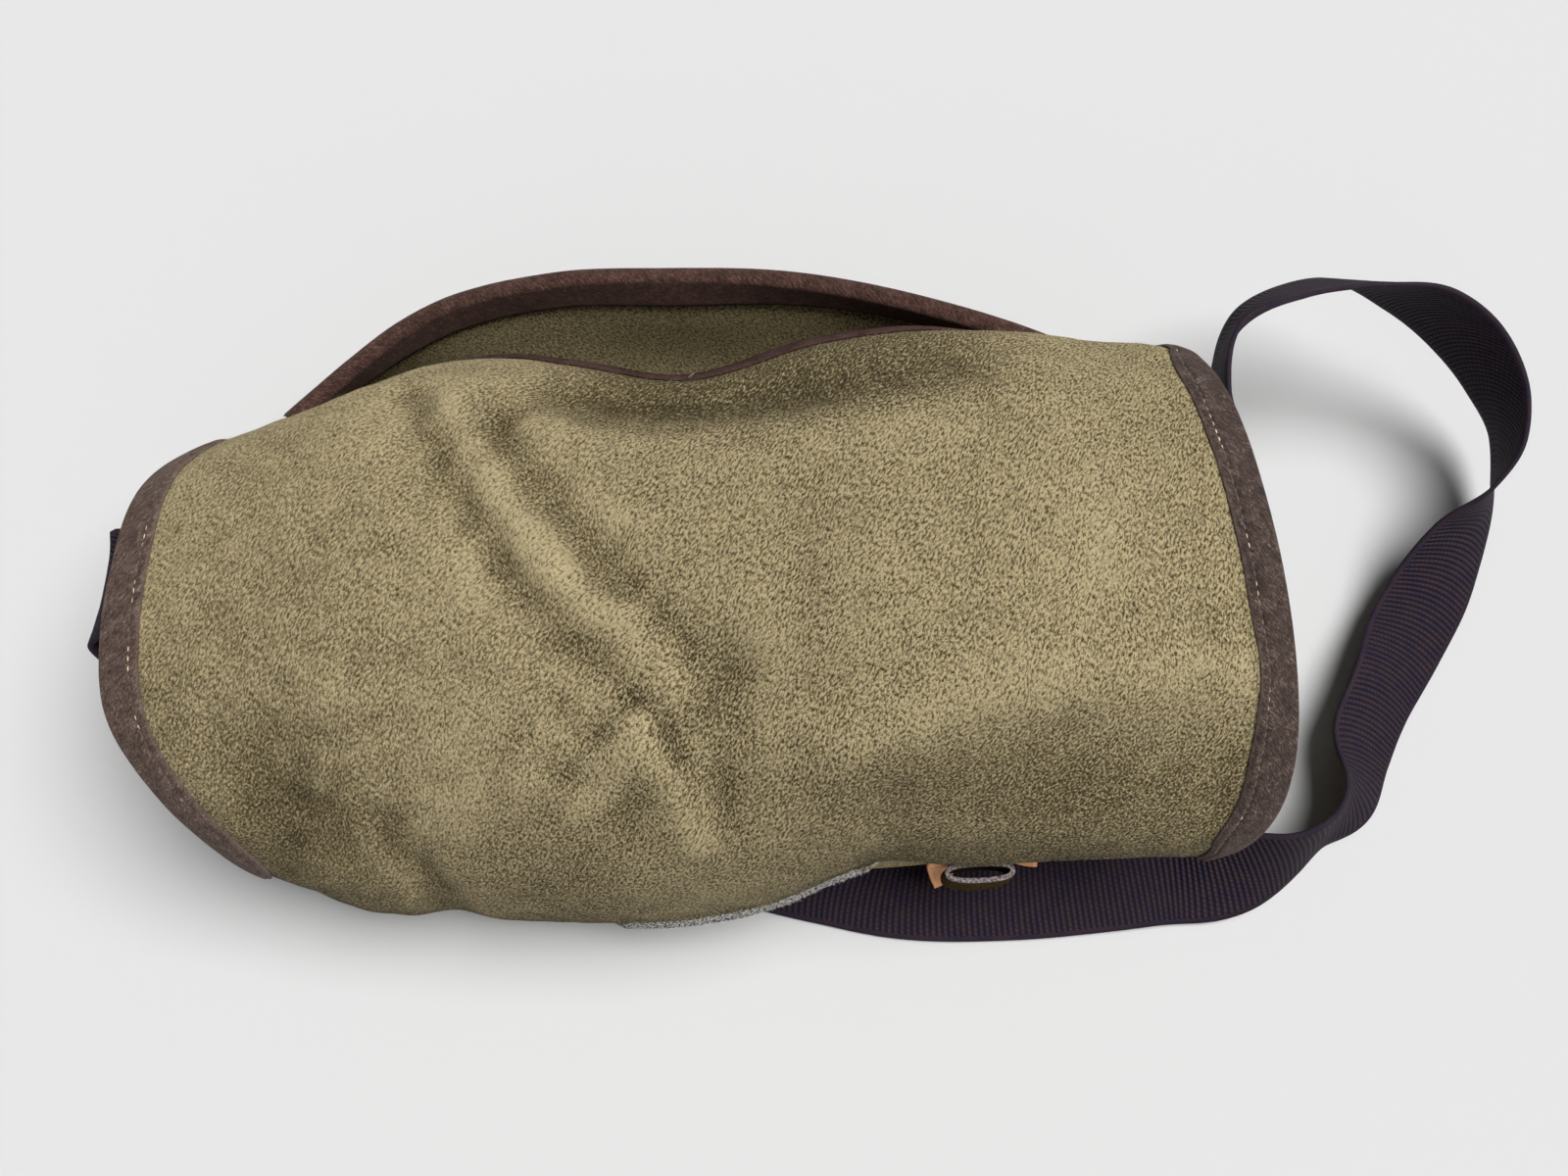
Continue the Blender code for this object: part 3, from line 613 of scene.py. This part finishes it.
wall = keeper.modifiers.new("thickness", "SOLIDIFY")
wall.thickness = loop_leather
wall.offset = 0
softened = keeper.modifiers.new("worn edges", "BEVEL")
softened.width = 0.0005
softened.segments = 2
softened.limit_method = "ANGLE"
softened.angle_limit = 1.0


# Flap
# One large piece of a heavier cut of the wool, sewn to the back panel. It domes over the
# mouth and hangs down the front, with soft folds where it has lain on what was in the bag.
flap_wool_thickness = 0.003
flap_outwards = (0, -0.3, 1)
flap = sewn_grid("flap", 38, flap_wool_thickness, TO_RIGHT, (0, -1, 0))
flap_folds = (
    # height and spread, then the places in plan that a fold runs through, in millimetres
    (0.7, 5.2, (-91, 93), (-80, 67), (-71, 50), (-51, 20), (-30, 0), (-12, -19), (-1, -38), (1, -57),
     (-5, -72)),
    (-1.1, 5.6, (-98, 84), (-88, 58), (-75, 34), (-58, 8), (-45, -8), (-27, -15)),
    (-1.4, 6.4, (-68, 69), (-53, 41), (-35, 17), (-16, -1), (-2, -21), (6, -40), (7, -58), (5, -66)),
    (1.2, 6.0, (-55, 68), (-35, 42), (-19, 21)),
    (1.0, 3.6, (-56, -44), (-40, -32), (-23, -24)),
    (-1.5, 3.6, (-47, -52), (-32, -41), (-20, -33), (-15, -34), (-8, -47)),
    (1.3, 3.4, (-45, -64), (-32, -55), (-19, -47), (-11, -57), (-6, -73)),
    (-1.2, 5.0, (-27, -68), (-21, -60)),
    (-2.0, 9.0, (37, 25), (36, -21)),
    (2.2, 5.0, (-131, -46), (-122, -61), (-112, -77)),
    (-3.0, 8.0, (-155, -47), (-150, -62)),
    (-2.0, 6.0, (-110, -65), (-102, -80)),
    (1.2, 7.0, (-122, -19), (-62, -21)),
    (-2.0, 8.0, (-160, -31), (-128, -33)),
    (-4.0, 9.0, (-46, 88), (-16, 83), (12, 79), (40, 80), (67, 83), (95, 87)),
    (1.8, 9.0, (-48, 62), (-16, 54), (12, 50), (40, 50), (67, 52), (95, 56)),
    (4.0, 9.0, (50, -48), (79, -38), (102, -32), (130, -28), (184, -25)),
    (-5.0, 13.0, (70, -72), (110, -64), (163, -60), (184, -58)),
)


def folds_at(x, y):
    """Height of the folds at places in plan, each fading away from the line it runs along."""
    lift = np.zeros(x.shape)
    for height, spread, *line in flap_folds:
        line = np.array(line) / 1000
        nearest = np.full(x.shape, 1.0)
        for start, end in zip(line[:-1], line[1:]):
            run = end - start
            part = np.clip(((x - start[0]) * run[0] + (y - start[1]) * run[1]) / (run @ run), 0, 1)
            away = np.hypot(x - start[0] - part * run[0], y - start[1] - part * run[1])
            nearest = np.minimum(nearest, away)
        lift += height / 1000 * np.exp(-(nearest * 1000 / spread) ** 2 / 2)
    return lift


def flap_cloth(across, along):
    """The flap's middle with the sharper folds that its plain solid leaves out."""
    points = cloth_points(flap, across, along)
    grown = np.clip((along - 0.02) / 0.09, 0, 1) * np.clip(np.minimum(across, 1 - across) / 0.05, 0, 1)
    rough = np.array([
        0.0010 * noise.noise(Vector(point) * 36) + 0.0005 * noise.noise(Vector(point) * 100)
        for point in points.reshape(-1, 3)]).reshape(points.shape[:2])
    lift = (folds_at(points[..., 0], points[..., 1]) + rough) * grown
    return points + facing(points, flap_outwards) * lift[..., None]


def hollows(points, reach):
    """How deep each point lies below the cloth round it, from -1 on ridges to 1 in valleys."""
    around = np.pad(points, ((reach, reach), (reach, reach), (0, 0)), mode="edge")
    rows, columns = points.shape[:2]
    mean = sum(around[down:down + rows, right:right + columns] for down, right in (
        (2 * reach, reach), (0, reach), (reach, 2 * reach), (reach, 0))) / 4
    deep = ((mean - points) * facing(points, flap_outwards)).sum(2)
    full_depth = 0.0009
    return np.clip(deep / full_depth, -1, 1)


raw_from, raw_to = -0.041, 0.060
raw_hang, raw_fade = 0.0025, 0.004
flap_wool = wool_finish("olive wool of the flap", (1.02, 0.925, 0.70))
flap_across, flap_along = shares(228, 138)
flap_points = flap_cloth(flap_across, flap_along)
raw_part = (np.clip((flap_points[..., 0] - raw_from) / raw_fade, 0, 1)
            * np.clip((raw_to - flap_points[..., 0]) / raw_fade, 0, 1))
flap_points[..., 1] -= raw_hang * raw_part * np.clip((flap_along - 0.975) / 0.025, 0, 1) ** 2

flap_x, flap_y = flap_points[..., 0], flap_points[..., 1]
# Painted shade: the wool is darkened low on the front towards the right, at the lower left, in the trough
# behind the back edge and along the front hem, where the cloth turns away from the light.
painted_shading_front = soft_step(-flap_y, 0.036, 0.062) * soft_step(flap_x, -0.02, 0.08) * 0.66
painted_shading_left = soft_step(-flap_y - 0.5 * flap_x, 0.085, 0.125) * soft_step(-flap_x, 0.0, 0.06)
painted_shading_back = (soft_step(flap_y - 0.10 * np.abs(flap_x - 0.02), 0.052, 0.078)
               * soft_step(flap_x, -0.075, -0.02))
painted_shading_spots = (
    # place in plan and spread in millimetres, and how much darker painted shade makes the wool, lighter
    # as a painted highlight below 0
    (-5, -32, 15, 0.50), (-146, -63, 18, 0.45), (-43, -78, 16, 0.32), (-71, 67, 13, 0.36),
    (-88, -53, 11, -0.30), (-140, 5, 30, 0.16), (131, 15, 16, -0.26), (30, 82, 30, 0.26),
    (110, -60, 25, 0.18), (92, -26, 20, -0.16), (79, -63, 14, -0.26), (19, 84, 12, -0.18),
    (45, 45, 26, -0.10))
# Sum of the spots: painted shade, and painted highlights where they are negative.
worn = sum(darker * np.exp(-((flap_x * 1000 - x) ** 2 + (flap_y * 1000 - y) ** 2) / (2 * spread ** 2))
           for x, y, spread, darker in painted_shading_spots)
flap_tones = {
    "hollow": hollows(flap_points, 3),
    "crisp": soft_step(flap_x - 0.4 * flap_y, -0.075, 0.010),
    "rubbed": worn + np.maximum(np.maximum(painted_shading_front, painted_shading_back * soft_step(-flap_x, -0.14, -0.07)),
                                painted_shading_left * 0.35) + 0.32 * soft_step(flap_along, 0.90, 0.98),
    "raw": (soft_step(flap_x, raw_from - 0.002, raw_from + 0.012)
            * soft_step(-flap_x, -raw_to, 0.012 - raw_to)
            * np.clip((flap_along - 0.982) / 0.010, 0, 1))}
flap_sheet = cut_cloth(
    "flap_wool", flap_points, flap_wool_thickness, flap_wool, "olive_wool", "flap", tones=flap_tones)


def loose_fibres(name, places, ways, out, lengths, girth, finish, slot):
    """Loose fibres as narrow ribbons of three faces that rise from their places and bend over."""
    count = len(places)
    bm = bmesh.new()
    bmesh.ops.create_grid(bm, x_segments=2 * count - 1, y_segments=3, size=0.5)
    columns = np.rint((np.array([vert.co.x for vert in bm.verts]) + 0.5) * (2 * count - 1)).astype(int)
    rise = np.array([vert.co.y for vert in bm.verts]) + 0.5
    for vert, column in zip(bm.verts, columns):
        vert.index = int(column)
    between = [face for face in bm.faces
               if min(vert.index for vert in face.verts) % 2 == 1]
    fibre, edge = columns // 2, columns % 2 - 0.5
    side = np.cross(ways, out)[fibre]
    reach = lengths[fibre][:, None]
    bend = rise[:, None]
    points = (places[fibre] + ways[fibre] * reach * bend
              + out[fibre] * reach * (0.55 * bend - 0.35 * bend**2)
              + side * (girth * edge * (1 - 0.8 * rise))[:, None] + side * reach * 0.25 * (bend**2))
    for vert, point in zip(bm.verts, points):
        vert.co = point
    bmesh.ops.delete(bm, geom=between, context="FACES_ONLY")
    return place_piece(name, bm, finish, slot)


def fibre_finish(name, shade):
    """Single wool fibres, a little lighter and darker by turns."""
    finish, thread, shader = new_finish(name, 0.3)
    tone = thread.make("TexCoord", output=PLACE).mottle(0.003, 1).between(0.35, 0.65)
    colour = tone.dye(tint(*[part * 0.62 for part in shade]), tint(*shade))
    end_finish(thread, shader, colour, 0.8, tone, 0.0001)
    return finish


chance = np.random.default_rng(7)


def fibres_on(across, along, slant, spread):
    """Places on the flap's outer face, ways along it near one slant, and its normals."""
    step = 0.004
    places = cloth_points(flap_points, across, along)
    right = (cloth_points(flap_points, across + step, along)
             - cloth_points(flap_points, across - step, along))
    down = (cloth_points(flap_points, across, along + step)
            - cloth_points(flap_points, across, along - step))
    right /= np.linalg.norm(right, axis=1)[:, None]
    out = np.cross(down, right)
    out /= np.linalg.norm(out, axis=1)[:, None]
    turn = (slant + chance.normal(0, spread, len(across)))[:, None]
    ways = right * np.cos(turn) + np.cross(out, right) * np.sin(turn)
    return places + out * (flap_wool_thickness / 2), ways, out


straw = fibre_finish("loose olive fibres", (186, 176, 126))
fibre_across = np.concatenate((
    chance.uniform(0.035, 0.965, 5200), chance.uniform(0.033, 0.040, 520),
    chance.uniform(0.959, 0.966, 520)))
count = len(fibre_across)
places, ways, out = fibres_on(fibre_across, chance.uniform(0.03, 0.995, count), 1.0, 0.9)
loose_fibres(
    "flap_fuzz", places, ways, out, chance.uniform(0.0016, 0.0042, count), 0.00011, straw, "olive_wool")
count = 2600
places, ways, out = fibres_on(
    chance.uniform(0.02, 0.98, count), chance.uniform(0.985, 1.0, count), -1.5, 0.5)
loose_fibres(
    "flap_edge_fuzz", places - out * chance.uniform(0, 0.003, count)[:, None], ways, out,
    chance.uniform(0.0008, 0.0022, count), 0.00014, straw, "olive_wool")

pale_fibre = fibre_finish("undyed fibres of the raw edge", (252, 249, 244))
raw_x = np.concatenate((
    chance.uniform(raw_from, raw_to, 1900), chance.normal(raw_to - 0.001, 0.0016, 160)))
count = len(raw_x)
edge_share = np.linspace(0, 1, flap_points.shape[1])
places, ways, out = fibres_on(
    np.interp(raw_x, flap_points[-1, :, 0], edge_share), 1 - chance.uniform(0, 0.010, count), -1.3, 1.0)
loose_fibres(
    "flap_raw_edge_fuzz", places - out * chance.uniform(0, 0.001, count)[:, None], ways, out,
    chance.uniform(0.0008, 0.0022, count), 0.00016, pale_fibre, "olive_wool")


# Side bindings
# Brown suede strips folded over the flap's two side edges and stitched through close to
# their inner edge. They run out to nothing at both ends.
# The right binding's suede is a darker copy of the left's: painted shade for the side tilted away from
# the light.
binding_suedes = (suede_finish("brown suede", (72, 57, 50), (100, 84, 76), (168, 152, 142)),
                  suede_finish("brown suede, darkened as painted shade", (58, 46, 42), (86, 72, 66), (170, 152, 140)))
suede_thickness, suede_gap = 0.0012, 0.0005
binding_height = flap_wool_thickness / 2 + suede_gap + suede_thickness / 2
binding_seam = 0.76   # share of a binding's width, from its folded edge
binding_seam_column = round((1 - binding_seam) * STRIP_FACES)
binding_run = np.linspace(0.022, 1, 195)
for side, binding_name in ((0, "left"), (1, "right")):
    inboard = np.linspace(0, 0.085, 61)
    edge_cloth = flap_cloth(*np.meshgrid(inboard if side == 0 else 1 - inboard, binding_run))
    edge_cloth = edge_cloth.swapaxes(0, 1)
    taper = (soft_step(binding_run, -0.01, 0.20) * 0.84 + 0.16) * (
        soft_step(1 - binding_run, -0.01, 0.10) * 0.75 + 0.25)
    width = (0.0138 if side == 0 else 0.0150) * taper
    strip = folded_strip(
        edge_cloth, flap_outwards, width, binding_height, roundness=0.0003, groove=(binding_seam, 0.0008))
    cut_cloth(
        "flap_binding_suede_" + binding_name, strip, suede_thickness, binding_suedes[side],
        "brown_suede", "flap_binding_" + binding_name, tones={"edge": free_edge(strip)})
    places, ways, out = seam_points(
        strip, binding_seam_column, pitch=0.0034, start=0.08, end=0.95, outwards=flap_outwards,
        proud=0.0008)
    stitch_line(
        "flap_binding_stitches_" + binding_name, places, ways, out, cream_thread,
        "brown_suede", length=0.0021, girth=0.0007)


# Upper binding
# A thin strip of dark leather folded over the flap's back edge, where it meets the body.
edge_leather = leather_finish("dark maroon leather", (44, 30, 27), (74, 54, 50), 0.8, 0.1)
upper_run = np.linspace(2 / 38, 36 / 38, 260)
upper_cloth = flap_cloth(*np.meshgrid(upper_run, np.linspace(0, 0.05, 26)))
upper_width = 0.0030 + 0.0055 * soft_step(upper_cloth[0, :, 0], -0.075, -0.050) * soft_step(
    -upper_cloth[0, :, 0], -0.100, -0.075)
upper_strip = folded_strip(upper_cloth, (0, 0.5, 1), upper_width, height=0.0026, roundness=0.0004)
cut_cloth(
    "flap_upper_edge", upper_strip, 0.0008, edge_leather, "dark_leather", "flap_top_binding")
upper_line = upper_strip[:, 5]
loose_at = upper_line[np.abs(upper_line[:, 0]).argmin()]
stitch_line(
    "flap_upper_stitch", [loose_at + (0, 0, 0.0010)], [(0.80, 0.58, 0.15)], [UPWARD], cream_thread,
    "dark_leather", length=0.0046, girth=0.0009)
cut_size(flap_points)


# Shoulder strap
# Black ribbed webbing with smooth selvedges, sewn to both gussets. It swings in one wide
# loop round the bag's right end and lies on the floor in front of the bag.
strap_route = np.array((
    # middle of the band: x, y, z, and the direction from one edge to the other: x, y, z
    (0.1915, 0.056, 0.035, -0.06, 1.00, 0.00),
    (0.1925, 0.057, 0.058, -0.10, 0.99, 0.00),
    (0.1970, 0.060, 0.078, -0.25, 0.93, -0.25),
    (0.2000, 0.068, 0.093, -0.25, 0.72, -0.62),
    (0.2010, 0.086, 0.100, 0.10, 0.25, -0.96),
    (0.2075, 0.109, 0.100, 0.02, 0.03, -1.00),
    (0.2265, 0.1265, 0.097, -0.36, 0.28, -0.89),
    (0.2500, 0.136, 0.091, -0.34, 0.44, -0.83),
    (0.2640, 0.139, 0.087, -0.25, 0.48, -0.84),
    (0.2965, 0.135, 0.075, -0.34, 0.26, -0.90),
    (0.3175, 0.124, 0.063, -0.37, 0.27, -0.89),
    (0.3335, 0.1045, 0.050, -0.21, 0.41, -0.89),
    (0.3390, 0.085, 0.040, 0.12, 0.45, -0.89),
    (0.3340, 0.067, 0.031, 0.38, 0.18, -0.91),
    (0.3200, 0.046, 0.0195, 0.68, -0.29, -0.67),
    (0.3080, 0.027, 0.0135, 0.78, -0.46, -0.43),
    (0.2970, 0.0105, 0.0105, 0.78, -0.49, -0.38),
    (0.2810, -0.0150, 0.0130, 0.73, -0.38, -0.57),
    (0.2690, -0.0365, 0.0140, 0.73, -0.32, -0.60),
    (0.2625, -0.0575, 0.0183, 0.50, -0.33, -0.80),
    (0.2480, -0.0720, 0.0208, 0.20, -0.18, -0.96),
    (0.2330, -0.0810, 0.0197, 0.15, -0.35, -0.90),
    (0.2180, -0.0850, 0.0165, 0.10, -0.62, -0.72),
    (0.2020, -0.0865, 0.0110, 0.05, -0.85, -0.44),
    (0.1850, -0.0855, 0.0040, 0.00, -0.99, -0.10),
    (0.1600, -0.0870, 0.0021, 0.00, -1.00, 0.00),
    (0.1200, -0.0885, 0.0014, 0.00, -1.00, 0.00),
    (0.0725, -0.0855, 0.0013, 0.00, -1.00, 0.00),
    (0.0400, -0.0775, 0.0013, 0.00, -1.00, 0.00),
    (0.0090, -0.0695, 0.0013, 0.00, -1.00, 0.00),
    (-0.0400, -0.0680, 0.0013, 0.00, -1.00, 0.00),
    (-0.0900, -0.0670, 0.0014, 0.00, -1.00, 0.00),
    (-0.1350, -0.0590, 0.0026, 0.00, -1.00, 0.00),
    (-0.1700, -0.0500, 0.0068, -0.20, -0.97, 0.15),
    (-0.1950, -0.0360, 0.0200, -0.30, -0.80, 0.45),
    (-0.2060, -0.0140, 0.0420, -0.20, -0.85, 0.45),
    (-0.2120, 0.0100, 0.0700, -0.10, -0.95, 0.25),
    (-0.2175, 0.0230, 0.0940, -0.10, -1.00, 0.00),
    (-0.2180, 0.0280, 0.1080, -0.14, -1.00, 0.00),
    (-0.2115, 0.0300, 0.1160, -0.12, -1.00, 0.00),
    (-0.2025, 0.0300, 0.1110, -0.08, -1.00, 0.00),
    (-0.1945, 0.0300, 0.0930, 0.00, -1.00, 0.00),
    (-0.1925, 0.0300, 0.0650, 0.00, -1.00, 0.00),
    (-0.1925, 0.0300, 0.0400, 0.00, -1.00, 0.00),
))
strap_width, strap_thickness = 0.040, 0.0018


def smooth_run(stops, values, at):
    """Values between stops, on a smooth curve through all of them."""
    low = np.clip(np.searchsorted(stops, at, side="right") - 1, 0, len(stops) - 2)
    span = (stops[low + 1] - stops[low])[:, None]
    part = ((at - stops[low]) / span[:, 0])[:, None]
    slopes = np.gradient(values, stops, axis=0)
    start, end, rise = slopes[low] * span, slopes[low + 1] * span, values[low + 1] - values[low]
    return values[low] + part * (start + part * (
        3 * rise - 2 * start - end + part * (start + end - 2 * rise)))


route_steps = np.linalg.norm(np.diff(strap_route[:, :3], axis=0), axis=1)
route_length = np.concatenate(([0], np.cumsum(route_steps))) / route_steps.sum()
strap_run = smooth_run(route_length, strap_route, np.linspace(0, 1, 601))
strap_middle, strap_across = strap_run[:, :3], strap_run[:, 3:]
strap_ahead = np.gradient(strap_middle, axis=0)
strap_ahead /= np.linalg.norm(strap_ahead, axis=1)[:, None]
strap_across = strap_across - strap_ahead * (strap_across * strap_ahead).sum(1)[:, None]
strap_across /= np.linalg.norm(strap_across, axis=1)[:, None]
strap_points = (strap_middle[:, None]
                + strap_across[:, None] * np.linspace(-0.5, 0.5, 13)[None, :, None] * strap_width)
finish, thread, shader = new_finish("black webbing", gloss=0.12)
woven = thread.make("TexCoord", output=MAP)
across = thread.make("SeparateXYZ", None, {0: woven}, 0)
along = thread.make("SeparateXYZ", None, {0: woven}, 1)
rib_pitch, bead_pitch = 0.00235, 0.0021
selvedge_width, selvedge_inner = 0.0024, 0.0014
rib, bead = along / rib_pitch, across / bead_pitch
ridge = thread.sum("SINE", rib * (2 * math.pi)) * 0.5 + 0.5
shifted = bead + thread.sum("FLOOR", rib + 0.25) * 0.5
grain = thread.sum("SINE", shifted * (2 * math.pi)) * 0.5 + 0.5
selvedge = thread.sum("ABSOLUTE", across).between(
    strap_width / 2 - selvedge_width, strap_width / 2 - selvedge_inner)
relief = (ridge * (grain * 0.5 + 0.5)) * (1 - selvedge) + selvedge * 0.45
blotch = woven.mottle(0.007, 2).between(0.35, 0.65)
fuzz = woven.mottle(0.0006, 2, 0.6)
lit = blotch.dye(tint(60, 49, 66), tint(67, 53, 63))
shaded = blotch.dye(tint(21, 17, 27), tint(28, 20, 26))
colour = (relief * 0.8 + fuzz * 0.5 - 0.28).dye(shaded, lit)
end_finish(thread, shader, colour, 0.75, relief, 0.0007)
strap = cut_cloth(
    "shoulder_strap_webbing", strap_points, strap_thickness, finish, "black_webbing", "shoulder_strap")
black_thread = thread_finish("black thread", (74, 66, 74))
for end_name, first, last, outside in (("right", 0.004, 0.026, 1), ("left", 0.972, 0.996, -1)):
    corners = np.array(((0.12, first), (0.88, first), (0.88, last), (0.12, last), (0.12, first),
                        (0.88, last), (0.88, first), (0.12, last)))
    spots = cloth_points(strap_points, *corners.T)
    gone = np.concatenate(([0], np.cumsum(np.linalg.norm(np.diff(spots, axis=0), axis=1))))
    at = np.arange(0, gone[-1], 0.0030)
    seam_across, seam_along = (np.interp(at, gone, corners[:, axis]) for axis in range(2))
    places = cloth_points(strap_points, seam_across, seam_along)
    ways = np.gradient(places, axis=0)
    out = np.tile((outside, 0.0, 0.0), (len(places), 1))
    stitch_line(
        "shoulder_strap_stitches_" + end_name, places + out * (strap_thickness / 2 + 0.0003), ways, out,
        black_thread, "black_webbing", length=0.0023, girth=0.0008)
cut_size(strap_points)


# Floor and light
# A pale studio floor that ends at a wall as bright as itself. One broad soft light stands
# high on the right and a weaker one in front.
def studio_object(name, bm, finish_name, looks):
    """A thing in the studio, which isn't part of the bag, with the values of its shader."""
    finish = bpy.data.materials.new(finish_name)
    finish.use_nodes = True
    for socket, value in looks.items():
        finish.node_tree.nodes["Principled BSDF"].inputs[socket].default_value = value
    return new_object(name, bm, finish)


bm = bmesh.new()
bmesh.ops.create_grid(bm, x_segments=1, y_segments=1, size=40)
floor = studio_object("floor", bm, "pale floor", {
    "Base Color": (0.555, 0.555, 0.555, 1), "Roughness": 0.9})

bm = bmesh.new()
studio_reach = 30
bmesh.ops.create_cone(
    bm, segments=96, radius1=studio_reach, radius2=studio_reach, depth=studio_reach, cap_ends=False)
bmesh.ops.reverse_faces(bm, faces=bm.faces)
studio_wall = studio_object("studio_wall", bm, "pale wall", {
    "Base Color": (0, 0, 0, 1), "Emission Color": (0.80, 0.80, 0.80, 1), "Emission Strength": 1.0,
    "Specular IOR Level": 0.0})
studio_wall.visible_diffuse = studio_wall.visible_glossy = studio_wall.visible_shadow = False

for lamp_name, towards, strength, spread in (
        ("window", (0.42, 0.06, 1.15), 4.2, 0.65), ("fill", (0.05, -0.9, 0.9), 0.25, 0.9)):
    lamp = bpy.data.objects.new(lamp_name, bpy.data.lights.new(lamp_name, "SUN"))
    lamp.data.energy = strength
    lamp.data.angle = spread
    lamp.rotation_euler = Vector(towards).to_track_quat("Z", "Y").to_euler()
    bpy.context.scene.collection.objects.link(lamp)

sky = bpy.data.worlds.new("room")
sky.use_nodes = True
background = sky.node_tree.nodes["Background"]
background.inputs["Color"].default_value = (1, 1, 1, 1)
background.inputs["Strength"].default_value = 0.13
bpy.context.scene.world = sky
bpy.context.scene.view_settings.view_transform = "Standard"
